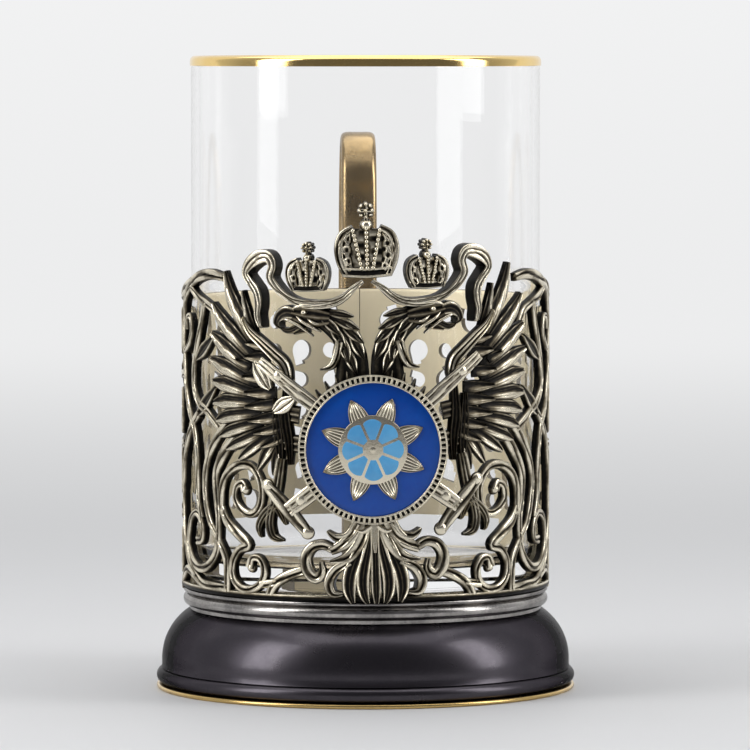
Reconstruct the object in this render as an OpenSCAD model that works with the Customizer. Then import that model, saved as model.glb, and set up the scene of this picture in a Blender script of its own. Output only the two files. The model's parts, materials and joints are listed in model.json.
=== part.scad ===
// Tea glass holder with a tea glass standing in it.
// The ornament is charted on a grid of squares that is wrapped round the band. Squares are counted
// sideways from the middle of the eagle and up or down from the middle of the medallion.

/* [Tea glass] */
// Outer diameter of the tea glass
glass_d = 66.8; // [60:0.2:76]
// Height of the tea glass with its gilt lip
glass_h = 100.4; // [88:0.2:120]
// Wall of the tea glass
glass_wall = 1.6; // [1.2:0.1:2.6]
// Thickness of the solid bottom of the tea glass
glass_bottom = 4.4; // [3.6:0.2:9]
// Height of the gilt lip
lip_h = 1.9; // [1:0.1:3]
// How far the gilt lip stands out from the glass
lip_proud = 0.2; // [0.05:0.05:0.4]

/* [Base] */
// How far the foot stands out beyond the openwork
foot_overhang = 4.85; // [3:0.05:8]
// Height of the brass bead under the foot
bead_h = 0.9; // [0.5:0.1:1.6]
// Height of the rounded edge of the foot
foot_edge_h = 3; // [2:0.1:4]
// Height of the dark base, from the table to its neck
base_h = 15.2; // [13:0.1:20]
// Wall of the spun base
base_wall = 1.5; // [1:0.1:2.2]
// Height of the polished neck ring
ring_h = 4.2; // [3:0.1:6]
// Width of the ledge inside the neck ring
ring_ledge = 3.6; // [2:0.1:5]
// Height of the rail under the openwork
rail_h = 1.3; // [1.2:0.05:2]
// Thickness of the floor plate
floor_t = 1.1; // [0.8:0.05:1.15]
// Diameter of the centre screw
screw_d = 5; // [4:0.5:6]

/* [Openwork] */
// Height of the openwork above the rail
band_h = 56; // [50:0.5:62]
// Room between the glass and the openwork
glass_room = 0.5; // [0.4:0.05:0.9]
// Thickness of the scroll panels
panel_t = 1.4; // [1.1:0.05:2]
// Width of a scroll stem
stem_w = 1.7; // [1.4:0.05:2]
// Thickness of the eagle casting
eagle_t = 1.5; // [1.2:0.05:2]
// Width of a fine line in the eagle casting
line_w = 1; // [0.85:0.05:1.15]
// Lean of the eagle casting in degrees
eagle_lean = 1.6; // [0:0.1:3]

/* [Medallion] */
// Diameter of the medallion
medal_d = 27.8; // [25:0.2:30]
// Thickness of the medallion
medal_t = 1.9; // [1.6:0.1:2.4]
// Width of the milled rim
milled_w = 1.5; // [1:0.1:2]
// Number of ridges in the milled rim
ridges = 84; // [60:1:100]
// Thickness of the enamel field
enamel_t = 0.6; // [0.3:0.05:0.7]
// Diameter of the rosette
rosette_d = 20.6; // [16:0.2:21.6]

/* [Handle] */
// Width of the handle strap
handle_w = 7.2; // [6:0.1:9]
// Thickness of the handle strap
handle_t = 2.6; // [2:0.1:3.4]
// Reach of the handle behind the openwork
handle_reach = 26; // [22:0.5:34]
// Height of the handle
handle_h = 80; // [72:0.5:90]

/* [Hidden] */
$fn = 96;

// Clearances and the overrun of every cut
fit_gap = 0.05;
seat_gap = 0.15;
over = 1;

// Radii, from the glass outwards
glass_r = glass_d / 2;
band_in_r = glass_r + glass_room;
panel_r = band_in_r + panel_t;
eagle_in_r = panel_r + seat_gap;
eagle_out_r = eagle_in_r + eagle_t;
staff_t = 0.62 * eagle_t;
staff_in_r = eagle_out_r + seat_gap;
staff_out_r = staff_in_r + staff_t;
foot_r = panel_r + foot_overhang;

// Heights, from the table upwards
ring_z = base_h + fit_gap;
rail_z = ring_z + ring_h + fit_gap;
band_z = rail_z + rail_h + fit_gap;
floor_z = rail_z;
glass_z = floor_z + floor_t + fit_gap;
band_top_z = band_z + band_h;

// Chart of the ornament: squares in half the round, squares in the height, and their sizes
chart_half_round = 115;
chart_rise = 56;
chart_r = eagle_in_r + 0.6 * eagle_t;
arc_step = PI * chart_r / chart_half_round;
rise_step = band_h / chart_rise;
medal_z = band_z + 0.49 * band_h;
medal_y = staff_out_r + seat_gap;
medal_r = medal_d / 2;
torso_r = 0.95 * medal_r;

// Sections of a line of the eagle, of one that goes through to the glass, and of a scroll stem:
// across in widths, out in thicknesses
line_section_shares = [[-0.5, 0], [0.5, 0], [0.28, 1], [-0.28, 1]];
deep_section_shares = [[-0.46, 0], [0.46, 0], [0.38, 1], [-0.38, 1]];
stem_section_shares = [[-0.5, 0], [0.5, 0], [0.36, 1], [-0.36, 1]];

// Lines of the charts below: squares out from the middle, squares up, and width in line or stem widths
feather_shares = [
    [[22.0, 18.5, 1.4], [25.5, 23.5, 2.8], [28.6, 28.6, 2.6], [30.0, 33.4, 0.9]],
    [[21.8, 19.6, 1.0], [24.2, 24.2, 1.9], [25.4, 29.8, 0.6]],
    [[22.4, 16.4, 1.4], [27.0, 20.5, 2.7], [31.0, 24.0, 2.7], [33.6, 27.4, 0.8]],
    [[22.4, 14.2, 1.4], [27.0, 16.9, 2.6], [31.2, 19.6, 2.8], [34.3, 21.8, 0.9]],
    [[22.4, 12.2, 1.4], [27.0, 14.1, 2.5], [31.2, 15.7, 2.8], [34.8, 17.0, 0.9]],
    [[22.4, 10.4, 1.4], [27.0, 11.4, 2.4], [31.2, 12.3, 2.7], [34.3, 12.7, 0.9]],
    [[22.4, 8.8, 1.4], [27.0, 9.0, 2.3], [31.2, 9.0, 2.6], [34.0, 8.7, 0.9]],
    [[22.2, 7.0, 1.4], [27.0, 6.6, 2.3], [31.0, 6.0, 2.3], [33.2, 5.3, 0.8]],
    [[21.8, 5.2, 1.4], [26.4, 4.3, 2.2], [30.0, 3.3, 2.1], [32.2, 2.4, 0.7]],
    [[21.0, 3.8, 1.2], [25.0, 2.2, 2.1], [28.4, 0.9, 1.9], [30.4, 0.0, 0.6]],
    [[20.0, 2.8, 1.2], [23.4, 0.8, 2.0], [25.8, -0.8, 1.7], [27.4, -2.0, 0.5]],
    [[18.6, 2.4, 1.2], [21.0, -0.6, 2.0], [22.8, -3.8, 0.5]],
    [[17.0, 2.0, 1.2], [18.8, -1.4, 1.8], [19.4, -4.8, 0.5]]
];
wing_edge_shares = [
    [25.4, 24.8, 0.6], [23.8, 22.2, 1.6], [21.2, 20.0, 2.0], [18.6, 17.8, 2.4], [16.6, 15.9, 2.2],
    [15.8, 13.4, 1.8], [16.6, 10.4, 2.6], [17.2, 6.0, 3.6], [17.4, 1.6, 3.2], [17.6, -2.4, 1.2]
];
wing_root_shares = [
    [[17.4, 7.0, 3.4], [13.4, 6.4, 3.6], [8.4, 4.6, 3.6]],
    [[17.6, 1.4, 3.4], [13.4, 1.0, 3.6], [8.4, -0.6, 3.6]]
];
wing_arm_shares = [[16.0, 14.0, 1.8], [19.0, 12.4, 2.0], [22.6, 11.4, 1.6]];
covert_shares = [
    [[20.2, 19.4], [25.0, 20.0], 2.2], [[19.8, 17.0], [25.4, 17.4], 2.4],
    [[24.2, 15.4], [28.0, 17.0], 1.8], [[20.6, 13.4], [26.2, 13.6], 2.2],
    [[18.6, 10.6], [25.8, 10.6], 2.4], [[18.2, 8.4], [25.6, 8.0], 2.4],
    [[17.8, 6.2], [24.8, 5.4], 2.4], [[17.4, 4.2], [23.6, 3.0], 2.2],
    [[17.0, 2.4], [22.0, 0.4], 2.0]
];
leg_shares = [[17.6, -1.6, 2.0], [18.4, -5.6, 2.4], [19.2, -9.4, 2.2], [19.8, -11.4, 1.8]];
talon_shares = [
    [[19.4, -10.4, 1.6], [21.6, -12.2, 1.7], [22.8, -14.4, 1.4], [22.3, -16.4, 0.4]],
    [[19.8, -10.8, 1.6], [20.4, -13.8, 1.8], [19.7, -16.2, 1.6], [17.6, -16.9, 0.4]],
    [[19.0, -10.2, 1.4], [17.8, -12.2, 1.4], [17.0, -14.0, 0.4]]
];
neck_shares = [
    [10.4, 25.0, 3.4], [7.2, 23.6, 4.6], [4.9, 21.2, 4.8], [3.5, 18.2, 5.4], [3.3, 15.0, 6.2],
    [3.6, 8.0, 7.0]
];
head_shares = [[8.0, 25.0, 2.8], [10.6, 25.4, 3.5], [13.0, 25.6, 3.3], [15.0, 25.8, 2.4]];
beak_shares = [
    [[13.8, 25.9, 2.6], [16.4, 26.3, 2.3], [18.4, 25.9, 1.7], [19.6, 24.6, 1.0], [19.3, 23.9, 0.3]],
    [[12.6, 24.4, 2.0], [15.2, 23.9, 1.4], [18.0, 23.4, 0.4]]
];
breast_curl_shares = [[5.6, 20.0, 1.6], [6.3, 17.2, 1.5], [7.4, 15.4, 1.3], [9.5, 14.9, 0.4]];
plume_shares = [
    [[7.4, 25.5], [2.8, 24.6], 1.4], [[6.2, 24.2], [1.8, 22.2], 1.6], [[4.6, 22.8], [1.0, 19.6], 1.7],
    [[8.6, 24.4], [5.2, 21.2], 1.6], [[3.2, 21.0], [1.0, 16.6], 1.9],
    [[5.2, 20.6], [3.9, 15.9], 1.9], [[6.2, 19.4], [6.2, 15.8], 1.4]
];
tail_shares = [
    [[1.8, -8.0, 3.0], [3.2, -14.4, 2.6], [5.6, -17.4, 2.3], [8.4, -18.9, 1.6]],
    [[3.4, -13.8, 1.6], [5.0, -16.0, 1.5], [7.2, -16.5, 1.4], [9.0, -15.2, 0.4]],
    [[1.6, -14.5, 2.2], [3.2, -18.0, 2.2], [5.4, -20.3, 2.0], [8.6, -20.9, 0.5]],
    [[4.8, -21.0, 1.4], [7.6, -22.5, 1.8], [8.9, -24.8, 1.8], [8.2, -26.9, 1.5], [6.2, -27.0, 0.5]],
    [[0.8, -14.0, 2.0], [2.6, -19.0, 2.2], [4.4, -23.0, 2.2], [4.6, -26.2, 1.9], [3.9, -28.8, 0.6]],
    [[0.2, -13.0, 1.6], [1.2, -19.0, 1.8], [2.2, -24.0, 1.8], [1.9, -27.0, 1.5], [1.0, -29.2, 0.5]]
];
tail_middle_shares = [[0, -8, 2], [0, -20, 1.6], [0, -29, 1]];
tail_curl_shares = [
    [8.0, -18.5, 1.7], [9.8, -17.7, 1.8], [11.9, -18.2, 2.0], [13.2, -20.2, 2.1],
    [12.8, -22.6, 2.3], [11.3, -23.9, 2.2], [10.1, -22.8, 1.5], [10.2, -20.9, 0.7]
];
ribbon_shares = [
    [1.9, 30.6, 1.2], [3.8, 29.4, 1.4], [6.0, 28.4, 1.4], [9.0, 28.0, 1.3], [12.0, 28.0, 1.3],
    [15.0, 28.7, 1.4], [17.5, 30.1, 1.8], [18.9, 32.2, 1.9], [18.4, 34.4, 1.9], [19.4, 36.0, 2.1],
    [21.6, 35.9, 2.3], [23.6, 34.6, 2.2], [24.4, 32.9, 1.8], [23.2, 31.2, 2.0], [21.9, 29.4, 2.0],
    [21.6, 27.2, 1.8], [21.9, 25.4, 1.6], [21.6, 23.8, 1.3], [21.3, 22.8, 0.6]
];

// A crown: places in half widths out and in heights up from its foot
crown_wall_shares = [[0.78, 0.06], [0.96, 0.34], [1.0, 0.62], [0.86, 0.86], [0.56, 1.0], [0.3, 0.94]];
crown_arch_shares = [
    [[0, 0.14], [0, 0.6], [0, 1.02]],
    [[0.3, 0.14], [0.5, 0.56], [0.32, 0.98]],
    [[-0.3, 0.14], [-0.5, 0.56], [-0.32, 0.98]]
];
crown_band_shares = [[-0.84, 0.13], [0, 0.1], [0.84, 0.13]];
crown_back_shares = [
    [-0.1, 0.08], [0.76, 0.08], [0.94, 0.34], [0.98, 0.62], [0.84, 0.84], [0.54, 0.97], [-0.1, 0.97]
];
large_crown_w = 10.6 * arc_step;
large_crown_h = 9.4 * rise_step;
large_crown_place_shares = [0, 31.7];
small_crown_w = 7.4 * arc_step;
small_crown_h = 6.0 * rise_step;
small_crown_place_shares = [11.5, 29.4];

// Staffs that cross behind the medallion: squares out and up, and width in line widths
staff_shares = [
    [-21.0, 16.6, 0.8], [-15.4, 12.2, 1.8], [0, 0, 2.0], [11.2, -7.8, 2.2], [15.9, -11.2, 2.0]
];
staff_head_shares = [[20.2, -6.6, 1.8], [15.9, -11.2, 2.4], [12.4, -15.4, 1.8]];
staff_knob_shares = [[-17.4, 13.8, 2.8], [13.4, -9.3, 3.0], [20.2, -6.6, 2.6], [12.4, -15.4, 2.6]];

// Scroll panel beside the eagle
curl_shares = [
    [[33.6, -13.5, 1.1], [33.7, -9.6, 1.1], [32.9, -6.8, 1.1], [31.0, -4.9, 1.1], [28.2, -3.8, 1.1],
     [25.4, -4.1, 1.0], [23.4, -6.1, 1.0], [22.7, -8.8, 1.0], [23.4, -11.5, 0.95], [25.5, -12.9, 0.95],
     [27.9, -12.2, 0.9], [29.6, -10.2, 0.9], [29.3, -7.9, 0.9], [27.7, -7.3, 1.1], [27.0, -8.6, 1.3]],
    [[33.6, -12.0, 1.0], [32.0, -14.6, 1.3], [29.2, -16.6, 1.3], [26.2, -18.8, 1.2], [28.6, -19.8, 1.0],
     [30.4, -22.2, 1.0], [30.2, -25.0, 1.0], [28.2, -26.9, 1.0], [25.4, -27.1, 1.0], [23.0, -25.8, 1.0],
     [22.2, -23.4, 1.0], [23.3, -21.3, 0.9], [25.2, -21.2, 0.9], [25.9, -23.0, 1.2]]
];
vine_shares = [
    [[33.0, 31.2, 0.9], [37.0, 31.7, 1.2], [41.0, 31.4, 1.3], [45.0, 30.3, 1.3], [49.5, 28.2, 1.3],
     [52.2, 25.0, 1.2], [52.6, 20.6, 1.1], [51.8, 15.4, 1.1], [50.4, 10.2, 1.1], [48.0, 5.8, 1.1],
     [44.8, 2.6, 1.1], [43.2, -2.0, 1.1], [42.8, -7.6, 1.1], [42.4, -11.4, 1.0], [41.0, -14.6, 0.9]],
    [[45.0, 30.3, 1.2], [50.6, 28.9, 1.2], [56.0, 27.4, 1.2], [65.8, 26.2, 1.2]],
    [[46.6, 28.9, 0.8], [42.6, 27.2, 0.9], [39.2, 26.2, 0.9], [36.0, 24.8, 0.9], [34.0, 22.4, 0.7]],
    [[51.8, 16.6, 0.8], [48.6, 17.8, 0.8], [46.2, 20.4, 0.8], [47.0, 23.2, 0.8], [49.4, 23.0, 0.7],
     [49.6, 20.8, 0.6]],
    [[39.8, 26.4, 0.8], [41.4, 22.0, 0.9], [43.2, 18.0, 1.0], [44.8, 13.6, 1.1], [44.6, 9.8, 1.1],
     [42.2, 7.2, 1.1], [39.0, 5.8, 1.0], [36.4, 4.2, 1.0], [33.4, 2.6, 0.9]],
    [[30.2, 5.0, 0.9], [33.6, 2.4, 1.2], [37.6, -1.8, 1.2], [39.6, -6.4, 1.1], [39.2, -11.0, 1.1],
     [37.6, -15.0, 1.0], [35.2, -17.6, 0.9]],
    [[28.4, 2.4, 1.0], [32.2, -1.0, 1.4], [35.4, -5.4, 1.3], [35.4, -10.0, 1.1], [34.6, -15.0, 1.0],
     [35.4, -20.4, 1.1], [38.6, -23.5, 1.1], [42.6, -24.1, 1.1], [46.4, -22.4, 1.0], [48.2, -19.0, 1.0],
     [46.8, -15.2, 0.9], [43.4, -13.8, 0.9], [40.8, -15.8, 0.9], [41.0, -18.6, 0.9], [43.4, -19.0, 1.1]],
    [[42.4, 5.2, 1.1], [46.4, 2.4, 1.1], [50.2, -1.4, 1.1], [52.8, -6.6, 1.1], [53.4, -12.6, 1.1],
     [51.6, -18.6, 1.1], [47.6, -23.6, 1.1], [42.0, -26.7, 1.1], [37.0, -27.2, 1.1], [32.0, -27.4, 1.0]],
    [[34.8, -18.2, 0.9], [32.4, -21.6, 1.1], [32.0, -25.0, 1.1], [32.0, -29.0, 1.2]],
    [[12.8, -22.8, 1.1], [16.2, -23.8, 1.2], [19.4, -25.4, 1.2], [20.8, -27.2, 1.1], [21.0, -29.0, 1.1]],
    [[19.4, -25.4, 0.9], [21.4, -25.8, 1.0], [23.2, -26.0, 0.9]],
    [[65.2, -29.0, 1.1], [65.6, -14.3, 1.1], [64.8, -0.9, 1.1], [65.6, 12.5, 1.1], [65.0, 27.0, 1.1]],
    [[53.2, -14.4, 0.9], [58.6, -14.9, 1.1], [65.4, -13.6, 0.9]],
    [[52.4, -1.0, 0.9], [58.6, -1.5, 1.1], [65.2, -0.2, 0.9]],
    [[51.2, 12.4, 0.9], [58.6, 11.9, 1.1], [65.4, 13.2, 0.9]],
    [[44.0, -26.0, 0.9], [50.0, -25.0, 1.0], [57.0, -28.6, 1.0]]
];
scroll_leaf_shares = [[[43.4, 15.4], [35.8, 20.4], 1.6], [[43.2, 4.6], [35.2, 10.8], 1.7]];
panel_seam = 65.9;
strut_start = 12;

// Rows of the spirals that fill the rest of the panel
row_shares = [-21.0, -7.6, 5.8, 19.2];
side_column = 59.2;
spiral_reach = 6.4;
spiral_eye = 1.3;
spiral_turns = 1.35;
spiral_points = 11;

// Rear panels: columns and rows of drop-shaped holes between plain rims
rear_start = 66.05;
rear_join = 0.08;
rear_end = chart_half_round - rear_join;
rear_rise = 0.972 * band_h;
hole_columns = 7;
hole_rows = 7;
hole_start = 69.4;
hole_margin = 6.52;
hole_end = rear_end - hole_margin;
hole_low = 0.24 * band_h;
hole_high = 0.86 * band_h;
hole_r = 1.75 * arc_step;
// Low window under each rear panel, from the foot at its outer end to the foot that carries the handle
low_window_start = 79.2;
handle_foot_half = 3.6;
low_window_end = chart_half_round - handle_foot_half;
low_window_h = 0.18 * band_h;

// Handle: shares of its reach and of its height, from its lower end to its upper end
handle_shares = [
    [0, 0], [0, 0.05], [0, 0.095], [0.09, 0.145], [0.3, 0.19], [0.55, 0.245], [0.78, 0.33], [0.94, 0.45],
    [1, 0.58], [0.98, 0.71], [0.9, 0.82], [0.76, 0.91], [0.58, 0.965], [0.38, 0.985], [0.19, 0.965],
    [0.05, 0.9], [0, 0.82], [0, 0.74], [0, 0.66], [0, 0.59], [0, 0.54]
];
handle_section_shares = [
    [-0.5, 0.2], [-0.38, 0.5], [0.38, 0.5], [0.5, 0.2], [0.5, -0.2], [0.38, -0.5], [-0.38, -0.5],
    [-0.5, -0.2]
];
handle_z = band_z + 0.09 * band_h;
handle_y = panel_r + seat_gap + handle_t / 2;

// A point of the unrolled band, in millimetres from the medallion's middle, wrapped to radius r
function wrap(s, t, r, lean) =
    let (across = s * cos(lean) - t * sin(lean))
    let (up = s * sin(lean) + t * cos(lean))
    let (turn = across / chart_r * 180 / PI)
    [r * sin(turn), -r * cos(turn), medal_z + up];

// Chart places with widths turned to millimetres, on the left (side -1) or right (side 1)
function in_mm(shares, side, width) =
    [for (p = shares) [side * p[0] * arc_step, p[1] * rise_step, p[2] * width]];

// A curve through the points of a path, with n steps between two of them
function between(a, b, c, d, t) =
    (2 * b + (c - a) * t + (2 * a - 5 * b + 4 * c - d) * t * t + (3 * b - a - 3 * c + d) * t * t * t) / 2;
function smooth(path, n) =
    let (last = len(path) - 1)
    [
        for (i = [0:last - 1], k = [0:n - 1])
            between(path[max(i - 1, 0)], path[i], path[i + 1], path[min(i + 2, last)], k / n),
        path[last]
    ];

// Direction across a path at point i
function across(path, i) =
    let (a = path[max(i - 1, 0)], b = path[min(i + 1, len(path) - 1)])
    let (d = [b[0] - a[0], b[1] - a[1]])
    [-d[1], d[0]] / norm(d);

// Triangles of a swept form with n rings of m points
function ring_faces(n, m) = concat(
    [for (j = [1:m - 2]) [0, j, j + 1]],
    [for (i = [0:n - 2], j = [0:m - 1]) [i * m + j, (i + 1) * m + (j + 1) % m, i * m + (j + 1) % m]],
    [for (i = [0:n - 2], j = [0:m - 1]) [i * m + j, (i + 1) * m + j, (i + 1) * m + (j + 1) % m]],
    [for (j = [1:m - 2]) [(n - 1) * m, (n - 1) * m + j + 1, (n - 1) * m + j]]
);

// A raised line along a path of [across, up, width], standing on radius r with thickness t
module line(path, r, t, lean, section) {
    points = [
        for (i = [0:len(path) - 1])
            let (n = across(path, i))
            for (q = section)
                wrap(
                    path[i][0] + n[0] * q[0] * path[i][2],
                    path[i][1] + n[1] * q[0] * path[i][2],
                    r + q[1] * t, lean
                )
    ];
    polyhedron(points = points, faces = ring_faces(len(path), len(section)));
}

// Lines of the eagle casting, those of it that go through to the glass, and lines of the scroll panels
module raised(path, rise) {
    line(path, eagle_in_r, rise * eagle_t, eagle_lean, line_section_shares);
}
module eagle_line(shares, side, steps, rise = 1) {
    raised(smooth(in_mm(shares, side, line_w), steps), rise);
}
function deep_t(rise) = eagle_in_r + rise * eagle_t - band_in_r;
module deep(path, rise) {
    line(path, band_in_r, deep_t(rise), eagle_lean, deep_section_shares);
}
module deep_line(shares, side, steps, rise = 1) {
    deep(smooth(in_mm(shares, side, line_w), steps), rise);
}
module stem(shares, side, steps) {
    line(smooth(in_mm(shares, side, stem_w), steps), band_in_r, panel_t, 0, stem_section_shares);
}

// A pointed leaf from a to b, in millimetres on the unrolled band
module leaf(a, b, w, r, t, lean) {
    d = b - a;
    n = [-d[1], d[0]] / norm(d) * w / 2;
    belly = a + 0.4 * d;
    crest = a + 0.2 * d;
    crest_end = a + 0.62 * d;
    points = [
        wrap(a[0], a[1], r, lean),
        wrap(belly[0] + n[0], belly[1] + n[1], r, lean),
        wrap(b[0], b[1], r, lean),
        wrap(belly[0] - n[0], belly[1] - n[1], r, lean),
        wrap(crest[0], crest[1], r + t, lean),
        wrap(crest_end[0], crest_end[1], r + t, lean)
    ];
    hull() polyhedron(points = points, faces = [[0, 1, 2], [0, 2, 3], [0, 4, 1], [2, 5, 3]]);
}
module eagle_leaf(place, side, rise = 1) {
    a = [side * place[0][0] * arc_step, place[0][1] * rise_step];
    b = [side * place[1][0] * arc_step, place[1][1] * rise_step];
    leaf(a, b, place[2] * line_w, eagle_in_r, rise * eagle_t, eagle_lean);
}
module panel_leaf(place, side) {
    a = [side * place[0][0] * arc_step, place[0][1] * rise_step];
    b = [side * place[1][0] * arc_step, place[1][1] * rise_step];
    leaf(a, b, place[2] * stem_w, band_in_r, panel_t, 0);
}

// A straight tapering bar from a to b with widths wa and wb
module bar(a, b, wa, wb, r, t, lean) {
    d = b - a;
    n = [-d[1], d[0]] / norm(d) / 2;
    points = [
        for (e = [[a, wa], [b, wb]], s = [-1, 1], q = [[1, 0], [0.84, 0.6], [0.3, 1]])
            wrap(e[0][0] + s * q[0] * n[0] * e[1], e[0][1] + s * q[0] * n[1] * e[1], r + q[1] * t, lean)
    ];
    hull() polyhedron(points = points, faces = [[0, 1, 2, 5, 4, 3], [6, 7, 8, 11, 10, 9]]);
}

// A low round boss of width w
module boss(c, w, r, t, lean) {
    points = [
        for (q = [[w / 2, 0], [w / 4, 1]], k = [0:5])
            wrap(c[0] + q[0] * cos(60 * k), c[1] + q[0] * sin(60 * k), r + q[1] * t, lean)
    ];
    hull() polyhedron(points = points, faces = [for (k = [0:1]) [for (j = [0:5]) 6 * k + j]]);
}

// The part of the band between two places of the chart, from the rail up
module sector(from, to, top) {
    far = 2 * panel_r;
    angles = [for (k = [0:3]) (from + (to - from) * k / 3) * 180 / chart_half_round];
    translate([0, 0, band_z])
        linear_extrude(height = top)
            polygon(concat([[0, 0]], [for (a = angles) [far * sin(a), -far * cos(a)]]));
}

// Turned parts of the base
shoulder_z = bead_h + foot_edge_h + 1.8 * bead_h;
bulge_r = foot_r - 0.34 * foot_edge_h;
neck_r = panel_r - 1.1 * base_wall;
shoulder_drop = bulge_r - neck_r;
shoulder_rise = base_h - shoulder_z;
shoulder_r = (shoulder_drop * shoulder_drop + shoulder_rise * shoulder_rise) / (2 * shoulder_drop);

module base_outline(inset) {
    intersection() {
        translate([bulge_r - shoulder_r, shoulder_z])
            circle(r = shoulder_r - inset);
        translate([0, shoulder_z])
            square([foot_r, shoulder_rise - inset]);
    }
    translate([0, bead_h + fit_gap - inset])
        square([bulge_r - inset, shoulder_z - bead_h - fit_gap + inset]);
}
module foot_bead() {
    bead_w = 3.6 * bead_h;
    nose = bead_h / 2;
    color([0.72, 0.58, 0.3])
        rotate_extrude() {
            translate([foot_r - nose - bead_w, 0])
                square([bead_w, bead_h]);
            translate([foot_r - nose, nose])
                circle(r = nose);
        }
}
module base_skirt() {
    nose = (foot_edge_h - fit_gap) / 2;
    color([0.2, 0.19, 0.21])
        rotate_extrude()
            difference() {
                union() {
                    base_outline(0);
                    translate([bulge_r - base_wall, bead_h + fit_gap])
                        square([foot_r - nose - bulge_r + base_wall, 2 * nose]);
                    translate([foot_r - nose, bead_h + fit_gap + nose])
                        circle(r = nose);
                }
                base_outline(base_wall);
                translate([0, base_h - over - base_wall])
                    square([screw_hole_r, 2 * over + base_wall]);
            }
}
module neck_ring() {
    bead = ring_h / 4;
    ring_r = panel_r - 0.3 * bead;
    color([0.82, 0.8, 0.76])
        rotate_extrude()
            difference() {
                union() {
                    translate([neck_r - ring_ledge, ring_z])
                        square([ring_r - bead - neck_r + ring_ledge, ring_h]);
                    translate([ring_r - bead, ring_z + bead])
                        circle(r = bead);
                    translate([ring_r - bead, ring_z + ring_h - bead])
                        circle(r = bead);
                }
                translate([ring_r, ring_z + ring_h / 2])
                    circle(r = bead / 3);
            }
}
module lower_rail() {
    nose = rail_h / 2;
    color([0.74, 0.71, 0.64])
        rotate_extrude() {
            translate([band_in_r, rail_z])
                square([panel_t - nose, rail_h]);
            translate([panel_r - nose, rail_z + nose])
                circle(r = nose);
        }
}

// Floor and its fastening
screw_r = screw_d / 2;
screw_hole_r = screw_r + 2 * fit_gap;
screw_head_r = 1.9 * screw_r;
screw_head_t = 0.6 * floor_t;
nut_h = 0.75 * screw_d;
nut_r = 0.92 * screw_d;
washer_t = 0.16 * screw_d;
washer_z = base_h - base_wall - fit_gap - washer_t;
nut_z = washer_z - fit_gap - nut_h;
screw_tip_z = nut_z - 0.3 * screw_d;

module floor_plate() {
    color([0.8, 0.78, 0.73])
        difference() {
            translate([0, 0, floor_z])
                cylinder(r = band_in_r - fit_gap, h = floor_t);
            translate([0, 0, floor_z - over])
                cylinder(r = screw_hole_r, h = floor_t + 2 * over);
            translate([0, 0, floor_z + floor_t - screw_head_t])
                cylinder(r = screw_head_r + fit_gap, h = screw_head_t + over);
        }
}
module centre_screw() {
    head_z = floor_z + floor_t - screw_head_t + fit_gap;
    slot_w = screw_d / 5;
    slot_t = screw_head_t / 2;
    color([0.7, 0.7, 0.72])
        difference() {
            union() {
                translate([0, 0, head_z])
                    cylinder(r = screw_head_r, h = screw_head_t - fit_gap);
                translate([0, 0, screw_tip_z])
                    cylinder(r = screw_r, h = head_z + screw_head_t - fit_gap - screw_tip_z);
            }
            translate([-screw_head_r - over, -slot_w / 2, floor_z + floor_t - slot_t])
                cube([2 * (screw_head_r + over), slot_w, slot_t + over]);
        }
}
module centre_washer() {
    color([0.7, 0.7, 0.72])
        translate([0, 0, washer_z])
            difference() {
                cylinder(r = 1.15 * nut_r, h = washer_t);
                translate([0, 0, -over])
                    cylinder(r = screw_hole_r, h = washer_t + 2 * over);
            }
}
module centre_nut() {
    color([0.7, 0.7, 0.72])
        translate([0, 0, nut_z])
            difference() {
                cylinder(r = nut_r, h = nut_h, $fn = 6);
                translate([0, 0, -over])
                    cylinder(r = screw_r + fit_gap, h = nut_h + 2 * over);
            }
}

// Spiral scroll of the fill, its middle at chart place [u, v], opening to the hand side
module fill_spiral(u, v, hand, flip) {
    path = [
        for (k = [0:spiral_points - 1])
            let (share = k / (spiral_points - 1))
            let (reach = spiral_reach + (spiral_eye - spiral_reach) * share)
            let (turn = hand * (90 + 360 * spiral_turns * share))
            [
                (u + reach * cos(turn) * 1.06) * arc_step,
                (v + flip * reach * sin(turn) * hand) * rise_step,
                stem_w * (1.3 - 0.25 * share)
            ]
    ];
    line(path, band_in_r, panel_t, 0, stem_section_shares);
    boss([u * arc_step, v * rise_step], 2.1 * stem_w, band_in_r, panel_t, 0);
}
module fill_column(u, side) {
    for (k = [0:len(row_shares) - 1])
        fill_spiral(side * u, row_shares[k], side * (k % 2 == 0 ? 1 : -1), k % 2 == 0 ? 1 : -1);
}
module scroll_panel(side) {
    color([0.62, 0.58, 0.5])
        intersection() {
            union() {
                for (path = curl_shares) stem(path, side, 2);
                for (path = vine_shares) stem(path, side, 1);
                for (place = scroll_leaf_shares) panel_leaf(place, side);
                fill_column(side_column, side);
            }
            sector(side * strut_start, side * panel_seam, 1.2 * band_h);
        }
}
module drop_outline(r) {
    circle(r = r);
    rotate(45)
        square([1.3 * r, r]);
}
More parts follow.
